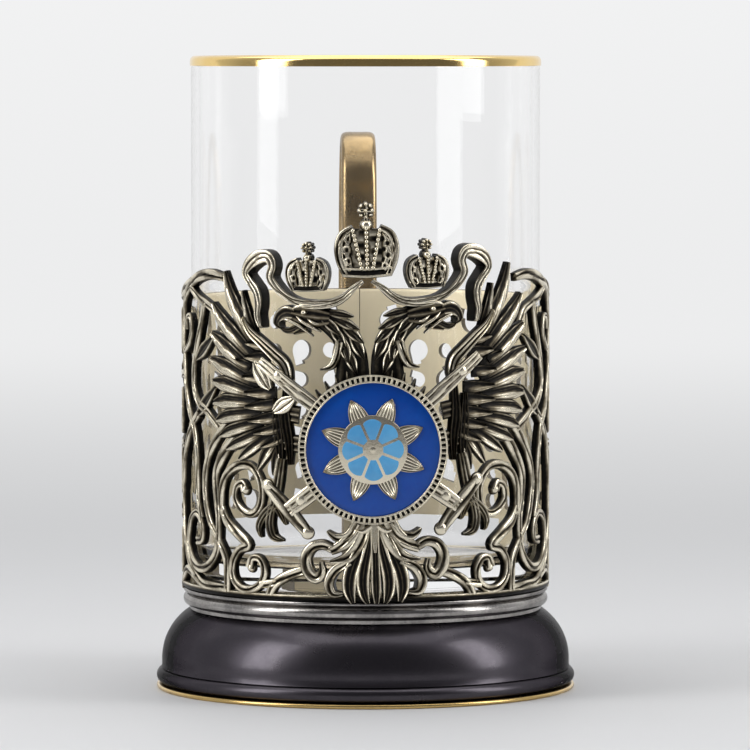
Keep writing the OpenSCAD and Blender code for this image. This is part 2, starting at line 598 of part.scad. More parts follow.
module rear_panel(side) {
    span = (rear_end - rear_start) * 180 / chart_half_round;
    start = (side > 0 ? rear_start : -rear_end) * 180 / chart_half_round - 90;
    low_span = (low_window_end - low_window_start) * 180 / chart_half_round;
    low_start = (side > 0 ? low_window_start : -low_window_end) * 180 / chart_half_round - 90;
    column_step = (hole_end - hole_start) / (hole_columns - 1);
    row_step = (hole_high - hole_low) / (hole_rows - 1);
    color([0.66, 0.62, 0.54])
        difference() {
            translate([0, 0, band_z])
                rotate([0, 0, start])
                    rotate_extrude(angle = span) {
                        translate([band_in_r, 0])
                            square([panel_t, rear_rise - panel_t / 2]);
                        translate([band_in_r + panel_t / 2, rear_rise - panel_t / 2])
                            circle(r = panel_t / 2);
                    }
            translate([0, 0, band_z - over])
                rotate([0, 0, low_start])
                    rotate_extrude(angle = low_span)
                        translate([band_in_r - over, 0])
                            square([panel_t + 2 * over, low_window_h + over]);
            for (c = [0:hole_columns - 1], k = [0:hole_rows - 1])
                rotate([0, 0, side * (hole_start + c * column_step) * 180 / chart_half_round])
                    translate([0, -band_in_r + over, band_z + hole_low + k * row_step])
                        rotate([90, 0, 0])
                            rotate(((c + k) % 2 == 0 ? 30 : -30) + (k % 2 == 0 ? 0 : 180))
                                linear_extrude(height = panel_t + 2 * over)
                                    drop_outline((c + 2 * k) % 3 == 0 ? 1.2 * hole_r : 0.85 * hole_r);
        }
}
module left_scroll_panel() { scroll_panel(-1); }
module right_scroll_panel() { scroll_panel(1); }
module left_rear_panel() { rear_panel(-1); }
module right_rear_panel() { rear_panel(1); }

// Strap handle, swept in the plane behind the glass
module handle() {
    path = [for (p = handle_shares) [p[0] * handle_reach, p[1] * handle_h]];
    points = [
        for (i = [0:len(path) - 1])
            let (n = across(path, i))
            for (q = handle_section_shares)
                [
                    q[0] * handle_w,
                    handle_y + path[i][0] + n[0] * q[1] * handle_t,
                    handle_z + path[i][1] + n[1] * q[1] * handle_t
                ]
    ];
    color([0.6, 0.54, 0.4])
        polyhedron(points = points, faces = ring_faces(len(path), len(handle_section_shares)));
}

// Eagle casting
module eagle_body() {
    color([0.7, 0.67, 0.58])
        difference() {
            union() {
                for (side = [-1, 1]) {
                    deep_line(neck_shares, side, 1, 0.7);
                    deep_line(head_shares, side, 1, 0.85);
                    deep_line(breast_curl_shares, side, 1);
                    eagle_line(tail_curl_shares, side, 1);
                    for (path = beak_shares) deep_line(path, side, 1);
                    for (path = tail_shares) deep_line(path, side, 1);
                    for (place = plume_shares) eagle_leaf(place, side);
                }
                deep_line(tail_middle_shares, 1, 1);
                torso();
            }
            // Room for the rail and the ring, which the tips of the tail stand in front of
            cylinder(r = eagle_in_r, h = band_z);
        }
}
module torso() {
    intersection() {
        difference() {
            cylinder(r = eagle_in_r + 0.8 * eagle_t, h = band_top_z, $fn = 72);
            translate([0, 0, -over])
                cylinder(r = band_in_r, h = band_top_z + 2 * over, $fn = 72);
        }
        leaned()
            rotate([90, 0, 0])
                cylinder(r = torso_r, h = 2 * eagle_out_r, $fn = 24);
    }
}
// Places its children at the medallion's middle, leaned with the eagle
module leaned() {
    translate([0, 0, medal_z])
        rotate([0, -eagle_lean, 0])
            children();
}
module wing(side) {
    color([0.68, 0.65, 0.57])
        difference() {
            union() {
                for (path = feather_shares) eagle_line(path, side, 1, 0.8);
                for (path = wing_root_shares) eagle_line(path, side, 1, 0.6);
                for (path = talon_shares) eagle_line(path, side, 1, 0.9);
                eagle_line(wing_arm_shares, side, 1);
                eagle_line(wing_edge_shares, side, 1);
                eagle_line(leg_shares, side, 1, 0.8);
                for (place = covert_shares) eagle_leaf(place, side);
            }
            leaned()
                rotate([90, 0, 0])
                    cylinder(r = torso_r + 2 * seat_gap, h = 2 * eagle_out_r, $fn = 24);
        }
}
module left_wing() { wing(-1); }
module right_wing() { wing(1); }
module ribbon(side) {
    color([0.7, 0.67, 0.58])
        deep_line(ribbon_shares, side, 1);
}
module left_ribbon() { ribbon(-1); }
module right_ribbon() { ribbon(1); }

// Half of the plate behind the arches of a crown, a little past its middle
module crown_back(foot, side, w, h) {
    n = len(crown_back_shares);
    points = [
        for (r = [band_in_r, eagle_in_r + 0.5 * eagle_t], p = crown_back_shares)
            wrap(foot[0] + side * p[0] * w / 2, foot[1] + p[1] * h, r, eagle_lean)
    ];
    hull() polyhedron(points = points, faces = [for (k = [0:1]) [for (j = [0:n - 1]) n * k + j]]);
}
// A crown of width w and height h with its foot at a chart place
module crown(place, w, h) {
    foot = [place[0] * arc_step, place[1] * rise_step];
    arch_w = 0.11 * w;
    orb_w = 0.24 * w;
    orb = foot + [0, 1.1 * h];
    cross_w = 0.3 * w;
    cross_foot = orb + [0, 0.3 * orb_w];
    cross_mid = cross_foot + [0, 0.7 * cross_w];
    function crown_path(shares, side, width) =
        [for (p = shares) [foot[0] + side * p[0] * w / 2, foot[1] + p[1] * h, width]];
    color([0.72, 0.69, 0.6])
        union() {
            for (side = [-1, 1]) {
                crown_back(foot, side, w, h);
                deep(crown_path(crown_wall_shares, side, 1.5 * arch_w), 0.85);
            }
            for (arch = crown_arch_shares) deep(crown_path(arch, 1, arch_w), 1);
            deep(crown_path(crown_band_shares, 1, 0.2 * h), 0.93);
            boss(orb, orb_w, band_in_r, deep_t(1), eagle_lean);
            bar(
                cross_foot, cross_foot + [0, 1.2 * cross_w],
                arch_w, 1.3 * arch_w, band_in_r, deep_t(0.8), eagle_lean
            );
            bar(
                cross_mid - [cross_w / 2, 0], cross_mid + [cross_w / 2, 0],
                1.2 * arch_w, 1.2 * arch_w, band_in_r, deep_t(0.7), eagle_lean
            );
        }
}
module large_crown() { crown(large_crown_place_shares, large_crown_w, large_crown_h); }
module small_crown(side) {
    place = [side * small_crown_place_shares[0], small_crown_place_shares[1]];
    crown(place, small_crown_w, small_crown_h);
}
module left_crown() { small_crown(-1); }
module right_crown() { small_crown(1); }

// Staffs that cross behind the medallion
module crossed_staffs() {
    color([0.76, 0.72, 0.62])
        union()
            for (side = [-1, 1]) {
                line(
                    smooth(in_mm(staff_shares, side, line_w), 3), staff_in_r, 0.8 * staff_t, eagle_lean,
                    line_section_shares
                );
                line(
                    in_mm(staff_head_shares, side, line_w), staff_in_r, 0.9 * staff_t, eagle_lean,
                    line_section_shares
                );
                for (knob = in_mm(staff_knob_shares, side, line_w))
                    boss([knob[0], knob[1]], knob[2], staff_in_r, staff_t, eagle_lean);
            }
}

// Medallion: a cup with a milled rim, an enamel field and a rosette
cup_floor_t = medal_t - enamel_t - 0.3 * medal_t;
field_r = medal_r - milled_w;
field_y = medal_y + cup_floor_t + fit_gap;
rosette_r = rosette_d / 2;
rosette_y = field_y + enamel_t + fit_gap;
rosette_t = medal_y + medal_t - rosette_y;
petals = 8;
petal_turn = 360 / petals;

// Stands its flat children on the medallion, from the distance y out from the axis
module medal_layer(y, t) {
    leaned()
        translate([0, -y, 0])
            rotate([90, 0, 0])
                linear_extrude(height = t)
                    children();
}
module milled_outline() {
    ridge_turn = 360 / ridges;
    groove_r = medal_r - 0.12 * milled_w;
    polygon([
        for (k = [0:ridges - 1], q = [[0, medal_r], [0.5, medal_r], [0.6, groove_r], [0.9, groove_r]])
            [q[1] * cos((k + q[0]) * ridge_turn), q[1] * sin((k + q[0]) * ridge_turn)]
    ]);
}
module medallion_cup() {
    saddle_r = 0.93 * medal_r;
    saddle_y = 0.8 * medal_y;
    color([0.74, 0.71, 0.63]) {
        difference() {
            leaned()
                translate([0, -saddle_y, 0])
                    rotate([90, 0, 0])
                        cylinder(r = saddle_r, h = medal_y + cup_floor_t / 2 - saddle_y);
            translate([0, 0, medal_z - medal_d])
                cylinder(r = medal_y + fit_gap, h = 2 * medal_d);
        }
        medal_layer(medal_y, cup_floor_t)
            milled_outline();
        medal_layer(medal_y + cup_floor_t, medal_t - cup_floor_t)
            difference() {
                milled_outline();
                circle(r = field_r);
            }
    }
}
module blue_enamel() {
    color([0.05, 0.22, 0.6])
        medal_layer(field_y, enamel_t)
            circle(r = field_r - fit_gap);
}
module petal() {
    flank_r = 0.6 * rosette_r;
    intersection() {
        translate([0.56 * rosette_r, 0.42 * rosette_r])
            circle(r = flank_r);
        translate([0.56 * rosette_r, -0.42 * rosette_r])
            circle(r = flank_r);
    }
}
module cell_outline(inset) {
    wedge_foot = inset / sin(petal_turn / 2);
    wedge_rise = (rosette_r - wedge_foot) * tan(petal_turn / 2);
    difference() {
        for (k = [0:petals - 1])
            rotate(k * petal_turn)
                intersection() {
                    translate([0.34 * rosette_r, 0])
                        circle(r = 0.24 * rosette_r - inset);
                    polygon([[wedge_foot, 0], [rosette_r, wedge_rise], [rosette_r, -wedge_rise]]);
                }
        circle(r = 0.16 * rosette_r + inset);
    }
}
module rosette() {
    cell_wall = 0.02 * rosette_r;
    color([0.78, 0.75, 0.68])
        medal_layer(rosette_y, rosette_t)
            difference() {
                union() {
                    circle(r = 0.66 * rosette_r);
                    for (k = [0:petals - 1])
                        rotate((k + 0.5) * petal_turn)
                            petal();
                }
                cell_outline(cell_wall);
            }
}
module rosette_enamel() {
    cell_wall = 0.02 * rosette_r;
    color([0.35, 0.65, 0.86])
        medal_layer(rosette_y, 0.8 * rosette_t)
            cell_outline(cell_wall + fit_gap);
}

// Tea glass
module tumbler() {
    wall_h = glass_h - lip_h - fit_gap;
    edge = 0.7 * glass_wall;
    inner_r = glass_r - glass_wall;
    inner_edge = 2 * glass_wall;
    color([0.86, 0.92, 0.94, 0.35])
        translate([0, 0, glass_z])
            rotate_extrude()
                difference() {
                    union() {
                        square([glass_r - edge, edge]);
                        translate([0, edge])
                            square([glass_r, wall_h - edge]);
                        translate([glass_r - edge, edge])
                            circle(r = edge);
                    }
                    translate([0, glass_bottom + inner_edge])
                        square([inner_r, wall_h]);
                    translate([0, glass_bottom])
                        square([inner_r - inner_edge, inner_edge + over]);
                    translate([inner_r - inner_edge, glass_bottom + inner_edge])
                        circle(r = inner_edge);
                }
}
module gilt_rim() {
    nose = (glass_wall + 2 * lip_proud) / 2;
    mid_r = glass_r - glass_wall / 2;
    lip_z = glass_z + glass_h - lip_h;
    color([0.9, 0.78, 0.45])
        rotate_extrude()
            intersection() {
                union() {
                    translate([mid_r - nose, lip_z])
                        square([2 * nose, lip_h - nose]);
                    translate([mid_r, lip_z + lip_h - nose])
                        circle(r = nose);
                }
                translate([mid_r - nose, lip_z])
                    square([2 * nose, lip_h]);
            }
}

foot_bead();
base_skirt();
neck_ring();
lower_rail();
floor_plate();
centre_screw();
centre_washer();
centre_nut();
left_scroll_panel();
right_scroll_panel();
left_rear_panel();
right_rear_panel();
handle();
eagle_body();
left_wing();
right_wing();
left_ribbon();
right_ribbon();
large_crown();
left_crown();
right_crown();
crossed_staffs();
medallion_cup();
blue_enamel();
rosette();
rosette_enamel();
tumbler();
gilt_rim();
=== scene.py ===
"""Tea glass holder with its tea glass, dressed for a studio picture.

The base, the glass and the medallion are turned from profiles. The openwork and the eagle are raised
strokes: each is a path charted on the unrolled band, swept with a carved section and wrapped round it.
"""

import json
import logging
import math
from collections.abc import Callable, Sequence
from dataclasses import dataclass, field
from enum import Enum

import bmesh
import bpy
import numpy as np
from bpy.types import ID, Material, Mesh, Node, NodeSocket, NodeTree, Object
from mathutils import Matrix, Vector

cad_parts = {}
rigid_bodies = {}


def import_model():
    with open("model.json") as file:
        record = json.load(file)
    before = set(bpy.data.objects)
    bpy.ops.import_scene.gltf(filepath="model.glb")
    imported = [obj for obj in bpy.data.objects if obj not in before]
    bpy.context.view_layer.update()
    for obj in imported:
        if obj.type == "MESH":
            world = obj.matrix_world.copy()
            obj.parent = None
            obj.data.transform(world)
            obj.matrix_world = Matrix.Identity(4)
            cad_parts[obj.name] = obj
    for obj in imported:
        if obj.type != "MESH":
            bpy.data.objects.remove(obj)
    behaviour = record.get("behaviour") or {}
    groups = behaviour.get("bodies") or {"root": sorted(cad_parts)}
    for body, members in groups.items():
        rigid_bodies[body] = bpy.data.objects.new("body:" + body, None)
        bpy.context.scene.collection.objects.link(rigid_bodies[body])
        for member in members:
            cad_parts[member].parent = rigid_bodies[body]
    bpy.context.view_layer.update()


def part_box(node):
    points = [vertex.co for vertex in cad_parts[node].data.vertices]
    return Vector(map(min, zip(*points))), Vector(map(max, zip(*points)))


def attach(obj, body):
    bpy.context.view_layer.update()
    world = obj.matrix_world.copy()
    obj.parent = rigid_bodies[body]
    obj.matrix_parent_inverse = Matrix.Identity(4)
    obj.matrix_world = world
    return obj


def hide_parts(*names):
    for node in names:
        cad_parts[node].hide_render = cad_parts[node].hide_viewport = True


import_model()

LOG = logging.getLogger("tea_glass_holder")
MM = 0.001
Path = Sequence[Sequence[float]]
Colour = tuple[float, float, float, float]

# Squares of the chart from the foot to the top of the band, and round half of it.
CHART_RISE, CHART_HALF_ROUND = 56, 115
# Room between layers of the casting, and between soldered pieces.
LAYER_GAP, SEAM = 0.15 * MM, 0.05 * MM
# Share of a relief's thickness that its walls reach below the face that they stand on.
SUNK = 0.02
# Points round a boss, and the shares of its radius at which its rings lie.
DOME_TURNS, DOME_RINGS = 16, (1.0, 0.96, 0.84, 0.64, 0.36, 0.12)
# Points round a turned piece, and round the turned pieces of the glass.
TURNS, GLASS_TURNS = 160, 192
# Angles above which an edge of a carved and of a turned piece is sharp, in degrees.
CARVED_CREASE, TURNED_CREASE = 42, 50
# Height of the grain that the finishes raise.
GRAIN_DEPTH = 0.1 * MM
# Wear of the black film over a piece that isn't carved.
PLAIN_WEAR = 0.5


class Body(Enum):
    """Rigid bodies of the part."""

    HOLDER = "holder"
    GLASS = "glass"


class Slot(Enum):
    """Material slots of the record."""

    OPENWORK = "openwork"
    HANDLE = "handle_metal"
    RING = "polished_ring"
    BASE = "dark_base"
    BEAD = "brass_bead"
    BLUE = "blue_enamel"
    PALE = "pale_enamel"
    GLASS = "tea_glass"
    GILDING = "gilding"


class Carving(Enum):
    """How the top of a raised stroke is carved."""

    ROUND = "round"
    GROOVED = "grooved"
    HOLLOW = "hollow"
    FEATHER = "feather"
    RIBBON = "ribbon"
    FLUTED = "fluted"
    RIBBED = "ribbed"
    PITTED = "pitted"


def bell(value: np.ndarray, middle: float, width: float) -> np.ndarray:
    """Smooth hump of height 1."""
    return np.exp(-(((value - middle) / width) ** 2))


def carved(carving: Carving, across: np.ndarray, along: np.ndarray) -> tuple[np.ndarray, np.ndarray]:
    """Height and polish of a stroke's top.

    Args:
        carving: Form of the section.
        across: Place across the stroke, from -1 to 1.
        along: Distance from the stroke's start in millimetres.

    Returns:
        Heights as shares of the thickness, and how far the black film is worn off, from 0 to 1.
    """
    edge = np.abs(across)
    shoulder = np.clip(1 - edge**7, 0, 1) ** 0.5
    crown = np.clip(1 - edge**2.6, 0, 1) ** 0.5
    if carving is Carving.ROUND:
        return 0.4 + 0.6 * crown, np.clip(1.25 * crown - 0.2, 0, 1)
    if carving is Carving.PITTED:
        pits = np.clip(1.8 * np.sin(2 * math.pi * along / 2.3) * np.sin(1.9 * math.pi * across + 0.6), 0, 1)
        return (0.4 + 0.6 * crown) * (1 - 0.3 * pits), np.clip(1.1 * crown - 0.1, 0, 1) * (1 - 0.95 * pits)
    if carving is Carving.GROOVED:
        groove = bell(across, 0.1 + 0.24 * np.sin(along / 1.9), 0.2)
        drift = 0.84 + 0.16 * np.sin(along / 1.3 + 2.0 * across)
        return (0.45 + 0.55 * shoulder) * (1 - 0.34 * groove), shoulder * (1 - 0.92 * groove) * drift
    if carving is Carving.HOLLOW:
        hollow = np.exp(-((edge / 0.6) ** 6))
        rib = bell(across, 0.0, 0.1)
        return (0.45 + 0.55 * shoulder) * (1 - 0.3 * hollow), shoulder * (1 - 0.96 * hollow) + 0.4 * rib
    if carving is Carving.FEATHER:
        facet = np.clip((across + 0.1) / 0.3, 0, 1) * (1 - bell(across, 1.0, 0.1))
        barbs = 0.5 + 0.5 * np.sin(5.5 * math.pi * across + 1.4 * np.sin(along / 1.6) + along / 0.8)
        height = (0.36 + 0.64 * shoulder) * (1 - 0.3 * bell(across, -0.3, 0.36)) - 0.07 * barbs
        blade = facet * (1.1 - 0.46 * barbs) + (1 - facet) * 0.34 * barbs + 0.6 * bell(across, -0.74, 0.09)
        return height, np.clip(blade * (1 - bell(edge, 1.0, 0.17)) + 0.03, 0, 1)
    if carving is Carving.RIBBON:
        flat = np.clip(1 - edge**18, 0, 1) ** 0.5
        fold = bell(across, -0.4 + 0.22 * np.sin(along / 2.1), 0.14)
        fold = fold + bell(across, 0.36 + 0.2 * np.sin(along / 1.5), 0.12)
        worn = flat * (1.1 - 0.9 * fold) * (0.88 + 0.12 * np.sin(along / 1.3))
        return (0.6 + 0.4 * flat) * (1 - 0.14 * fold), worn
    flutes = 0.5 + 0.5 * np.cos((6 if carving is Carving.RIBBED else 3) * math.pi * across)
    return (0.45 + 0.55 * shoulder) * (0.72 + 0.28 * flutes), shoulder * (0.1 + 1.1 * flutes)


@dataclass(frozen=True)
class Chart:
    """Grid of squares wrapped round the band, counted from the middle of the medallion.

    Attributes:
        radius: Radius on which a square keeps its width.
        arc_step: Width of a square.
        rise_step: Height of a square.
        middle_z: Height of the medallion's middle.
        lean: Lean of the eagle casting, in radians.
    """

    radius: float
    arc_step: float
    rise_step: float
    middle_z: float
    lean: float

    def wrap(self, place: np.ndarray, radius: np.ndarray, leaned: bool) -> np.ndarray:
        """Places on the unrolled band, in metres, wrapped to given radii.

        Args:
            place: Distances sideways and up, one row a point.
            radius: Radius of each point.
            leaned: Whether the points belong to the leaning casting.

        Returns:
            Points in the row frame.
        """
        tilt = self.lean if leaned else 0.0
        side = place[:, 0] * math.cos(tilt) - place[:, 1] * math.sin(tilt)
        rise = place[:, 0] * math.sin(tilt) + place[:, 1] * math.cos(tilt)
        turn = side / self.radius
        return np.stack([radius * np.sin(turn), -radius * np.cos(turn), self.middle_z + rise], axis=1)


@dataclass(frozen=True)
class FlatChart:
    """Millimetre grid on a flat face, with the same use as the wrapped grid."""

    stand: Matrix
    arc_step: float = MM
    rise_step: float = MM

    def wrap(self, place: np.ndarray, radius: np.ndarray, leaned: bool) -> np.ndarray:
        """Places on the face, lifted by the given heights.

        Args:
            place: Distances right and up, one row a point.
            radius: Height of each point over the face.
            leaned: Not used, the stand holds the lean.

        Returns:
            Points in the row frame.
        """
        turn = np.array(self.stand)
        return np.column_stack([place, radius]) @ turn[:3, :3].T + turn[:3, 3]


@dataclass(frozen=True)
class Layout:
    """Main sizes of the holder, taken from the frame where it gives them.

    Attributes:
        glass_r: Radius of the glass.
        glass_z: Height of its underside.
        rim_z: Height of its lip.
        band_in_r: Inner radius of the band.
        panel_r: Outer radius of the scroll panels.
        eagle_r: Radius that the eagle stands on.
        eagle_t: Thickness of the eagle casting.
        staff_r: Radius that the staffs stand on.
        staff_t: Thickness of the staffs.
        medal_y: Distance of the medallion's back from the axis.
        medal_r: Radius of the medallion.
        foot_r: Radius of the foot bead.
        band_z: Height at which the band starts.
        chart: Grid that the castings are drawn on.
    """

    glass_r: float
    glass_z: float
    rim_z: float
    band_in_r: float
    panel_r: float
    eagle_r: float
    eagle_t: float
    staff_r: float
    staff_t: float
    medal_y: float
    medal_r: float
    foot_r: float
    band_z: float
    chart: Chart

    @classmethod
    def from_frame(cls) -> "Layout":
        """Read the sizes that the frame holds and work out the rest.

        Returns:
            The layout.
        """
        glass_low, glass_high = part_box("tumbler")
        _, rail_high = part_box("lower_rail")
        _, bead_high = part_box("foot_bead")
        panel_r = rail_high.x
        eagle_r = panel_r + LAYER_GAP
        eagle_t = 1.5 * MM
        staff_r = eagle_r + eagle_t + LAYER_GAP
        staff_t = 0.62 * eagle_t
        band_z = rail_high.z + SEAM
        band_h = CHART_RISE * MM
        chart_r = eagle_r + 0.6 * eagle_t
        chart = Chart(
            radius=chart_r,
            arc_step=math.pi * chart_r / CHART_HALF_ROUND,
            rise_step=band_h / CHART_RISE,
            middle_z=band_z + 0.49 * band_h,
            lean=math.radians(1.6),
        )
        return cls(
            glass_r=glass_high.x,
            glass_z=glass_low.z,
            rim_z=glass_high.z,
            band_in_r=panel_r - 1.4 * MM,
            panel_r=panel_r,
            eagle_r=eagle_r,
            eagle_t=eagle_t,
            staff_r=staff_r,
            staff_t=staff_t,
            medal_y=staff_r + staff_t + LAYER_GAP,
            medal_r=13.9 * MM,
            foot_r=bead_high.x,
            band_z=band_z,
            chart=chart,
        )


def smooth_path(path: Path, spacing: float) -> np.ndarray:
    """A curve through the rows of a path, as the part's source draws it.

    Args:
        path: Rows of numbers.
        spacing: Distance between the points of the curve, in the path's unit.

    Returns:
        Points of the curve.
    """
    rows = np.array(path, float)
    last = len(rows) - 1
    points = []
    for i in range(last):
        a, b, c, d = rows[max(i - 1, 0)], rows[i], rows[i + 1], rows[min(i + 2, last)]
        steps = max(2, int(np.linalg.norm((c - b)[:2]) / spacing))
        for t in np.arange(steps) / steps:
            square, cube = 2 * a - 5 * b + 4 * c - d, 3 * b - a - 3 * c + d
            points.append((2 * b + (c - a) * t + square * t**2 + cube * t**3) / 2)
    points.append(rows[last])
    return np.array(points)


def mirrored(path: Path, side: int) -> list[list[float]]:
    """A charted path on the left (-1) or the right (1)."""
    return [[side * row[0], *row[1:]] for row in path]


def ring_faces(rings: int, count: int) -> list[list[int]]:
    """Faces between closed rings of points.

    Args:
        rings: Number of rings.
        count: Points in each ring.

    Returns:
        Four point numbers for each face, ring by ring.
    """
    return [
        [i * count + j, i * count + (j + 1) % count, (i + 1) * count + (j + 1) % count, (i + 1) * count + j]
        for i in range(rings - 1)
        for j in range(count)
    ]


def made_mesh(name: str, points: Path, faces: list[list[int]]) -> Mesh:
    """A mesh from points and faces.

    Args:
        name: Name of the mesh.
        points: Its points.
        faces: Point numbers of each face.

    Returns:
        The mesh.
    """
    mesh = bpy.data.meshes.new(name)
    mesh.from_pydata(points, [], faces)
    return mesh


@dataclass
class MeshParts:
    """Vertices, faces and carved heights that grow stroke by stroke."""

    points: list[np.ndarray] = field(default_factory=list)
    faces: list[list[int]] = field(default_factory=list)
    crest: list[np.ndarray] = field(default_factory=list)
    count: int = 0

    def add(self, points: np.ndarray, faces: list[list[int]], crest: np.ndarray) -> None:
        """Add one closed form.

        Args:
            points: Its points.
            faces: Point numbers of each face.
            crest: Polish of each point.
        """
        self.faces += [[k + self.count for k in face] for face in faces]
        self.points.append(points)
        self.crest.append(crest)
        self.count += len(points)

    def add_rings(self, rings: list[np.ndarray], crest: list[np.ndarray]) -> None:
        """Add a form of closed rings, from its foot up, with a flat face at both ends.

        Args:
            rings: Points of each ring.
            crest: Polish of each point, ring by ring.
        """
        count = len(rings[0])
        last = (len(rings) - 1) * count
        faces = ring_faces(len(rings), count)
        faces += [list(reversed(range(count))), [last + j for j in range(count)]]
        self.add(np.concatenate(rings), faces, np.concatenate(crest))

    def to_object(self, name: str, material: Material) -> Object:
        """Make the object.

        Args:
            name: Name of the piece.
            material: Its finish.

        Returns:
            The object, with its normals outwards and its heights in the attribute crest.
        """
        mesh = made_mesh(name, np.concatenate(self.points).tolist(), self.faces)
        attribute = mesh.attributes.new("crest", "FLOAT", "POINT")
        attribute.data.foreach_set("value", np.concatenate(self.crest).astype(np.float32))
        return finished(name, mesh, material)


def finished(name: str, mesh: Mesh, material: Material, crease: float = CARVED_CREASE) -> Object:
    """Put a mesh in the scene with outward normals, shading and finish.

    Args:
        name: Name of the piece.
        mesh: Its mesh, in the row frame.
        material: Its finish.
        crease: Angle above which an edge is sharp, in degrees.

    Returns:
        The object.
    """
    build = bmesh.new()
    build.from_mesh(mesh)
    bmesh.ops.recalc_face_normals(build, faces=build.faces)
    build.to_mesh(mesh)
    build.free()
    mesh.materials.clear()
    mesh.materials.append(material)
    mesh.polygons.foreach_set("material_index", [0] * len(mesh.polygons))
    mesh.shade_smooth()
    mesh.set_sharp_from_angle(angle=math.radians(crease))
    piece = bpy.data.objects.new(name, mesh)
    bpy.context.scene.collection.objects.link(piece)
    return piece


def hand_over(piece: Object, body: Body, slot: Slot, *nodes: str) -> None:
    """Let a piece ride on its body and stand for its nodes.

    Args:
        piece: The piece.
        body: Body that it rides on.
        slot: Its slot, not used.
        *nodes: Nodes that it stands for, none where it is extra dressing.
    """
    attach(piece, body.value)
    if nodes:
        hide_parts(*nodes)
    LOG.info("%s: %d faces", piece.name, len(piece.data.polygons))


@dataclass
class Relief:
    """A casting of raised strokes on the band.

    Attributes:
        chart: Grid that the strokes are drawn on.
        leaned: Whether the casting leans with the eagle.
        radius: Radius that the strokes stand on.
        thickness: Height of a full stroke.
        width: Millimetres in a unit of stroke width.
        root: Radius that the walls of deep strokes go down to.
    """

    chart: "Chart | FlatChart"
    leaned: bool
    radius: float
    thickness: float
    width: float
    root: float = 0.0
    mesh: MeshParts = field(default_factory=MeshParts)

    def foot(self, deep: bool) -> float:
        """Radius at which a wall starts, a little below the face that it stands on."""
        return (self.root if deep else self.radius) - SUNK * self.thickness

    def strokes(
        self, paths: Sequence[Path], side: int, carving: Carving, *rises: float, **options: object
    ) -> None:
        """Add raised strokes that are alike.

        Args:
            paths: Paths as stroke takes them, charted for the right.
            side: Side that they go to, -1 for the left or 1 for the right.
            carving: Form of their sections.
            *rises: Height share at the end, and at the start if it is another.
            **options: What else stroke takes.
        """
        for path in paths:
            self.stroke(mirrored(path, side), carving, *rises, **options)

    def hand_over(self, node: str, material: Material) -> None:
        """Make the object of the casting and let it stand for its node."""
        piece = self.mesh.to_object(f"{node}_dressed", material)
        hand_over(piece, Body.HOLDER, Slot.OPENWORK, node)

    def stroke(
        self,
        path: Path,
        carving: Carving,
        rise: float = 1.0,
        start: float | None = None,
        widen: float = 1.0,
        spacing: float = 0.42,
        across_points: int = 13,
        deep: bool = False,
        polish: float = 1.0,
        flip: int = 1,
        dim_root: float = 0.0,
    ) -> None:
        """Add a raised stroke.

        Args:
            path: Squares sideways, squares up and width of each place.
            carving: Form of its section.
            rise: Height share at its end.
            start: Height share at its start, or the same as rise.
            widen: Factor on its widths.
            spacing: Distance between its rings in squares.
            across_points: Points across its top.
            deep: Whether its walls go through to the glass.
            polish: Factor on how far its high spots are worn bright.
            flip: Which side of the stroke the carving's bright facet is on, -1 or 1.
            dim_root: Share of its length over which the polish grows from its start.
        """
        chart = self.chart
        line = smooth_path(path, spacing)
        place = line[:, :2] * (chart.arc_step, chart.rise_step)
        half = np.clip(line[:, 2], 0.08, None) * self.width * widen * MM / 2
        heading = np.gradient(place, axis=0)
        heading /= np.linalg.norm(heading, axis=1, keepdims=True) + 1e-12
        normal = np.stack([-heading[:, 1], heading[:, 0]], axis=1)
        steps = np.linalg.norm(np.diff(place, axis=0), axis=1)
        along = np.concatenate([[0], np.cumsum(steps)])
        share = along / along[-1]
        rises = (rise if start is None else start) * (1 - share) + rise * share
        across = np.sin(np.linspace(-1, 1, across_points) * math.pi / 2)
        rings, count = len(line), across_points + 2
        grid_across = np.tile(across, (rings, 1))
        grid_along = np.repeat(along[:, None] / MM, across_points, axis=1)
        height, worn = carved(carving, flip * grid_across, grid_along)
        worn = worn * (polish * np.clip(share / dim_root, 0.08, 1)[:, None] if dim_root else polish)
        slim = np.clip(half / (0.35 * MM), 0.3, 1)[:, None]
        top = height * (rises[:, None] * slim)
        foot = self.foot(deep)
        points = np.zeros((rings, count, 3))
        crest = np.zeros((rings, count))
        for j in range(count):
            offset = across[j] if j < across_points else (1.0 if j == across_points else -1.0)
            spot = place + normal * (offset * half)[:, None]
            radius = self.radius + top[:, j] * self.thickness if j < across_points else np.full(rings, foot)
            points[:, j] = chart.wrap(spot, radius, self.leaned)
            crest[:, j] = np.clip(worn[:, j], 0, 1) if j < across_points else 0
        faces = ring_faces(rings, count)
        faces += [list(range(count)), [(rings - 1) * count + j for j in reversed(range(count))]]
        self.mesh.add(points.reshape(-1, 3), faces, crest.reshape(-1))

    def dome(
        self, place: Sequence[float], size: float, rise: float = 1.0, sharp: float = 2.0, deep: bool = False
    ) -> None:
        """Add a round boss.

        Args:
            place: Squares sideways and up.
            size: Diameter in millimetres.
            rise: Height share at its middle.
            sharp: How boxy its section is.
            deep: Whether its wall goes through to the glass.
        """
        chart = self.chart
        middle = np.array(place[:2]) * (chart.arc_step, chart.rise_step)
        turns = np.arange(DOME_TURNS) * 2 * math.pi / DOME_TURNS
        foot = self.foot(deep)
        points, crest = [], []
        for out in DOME_RINGS:
            level = 0.0 if out == 1.0 else rise * (1 - out**sharp) ** (1 / sharp)
            spot = middle + out * size * MM / 2 * np.stack([np.cos(turns), np.sin(turns)], axis=1)
            radius = np.full(DOME_TURNS, self.radius + level * self.thickness if out < 1 else foot)
            points.append(chart.wrap(spot, radius, self.leaned))
            crest.append(np.full(DOME_TURNS, min(1.0, 1.3 * level)))
        self.mesh.add_rings(points, crest)

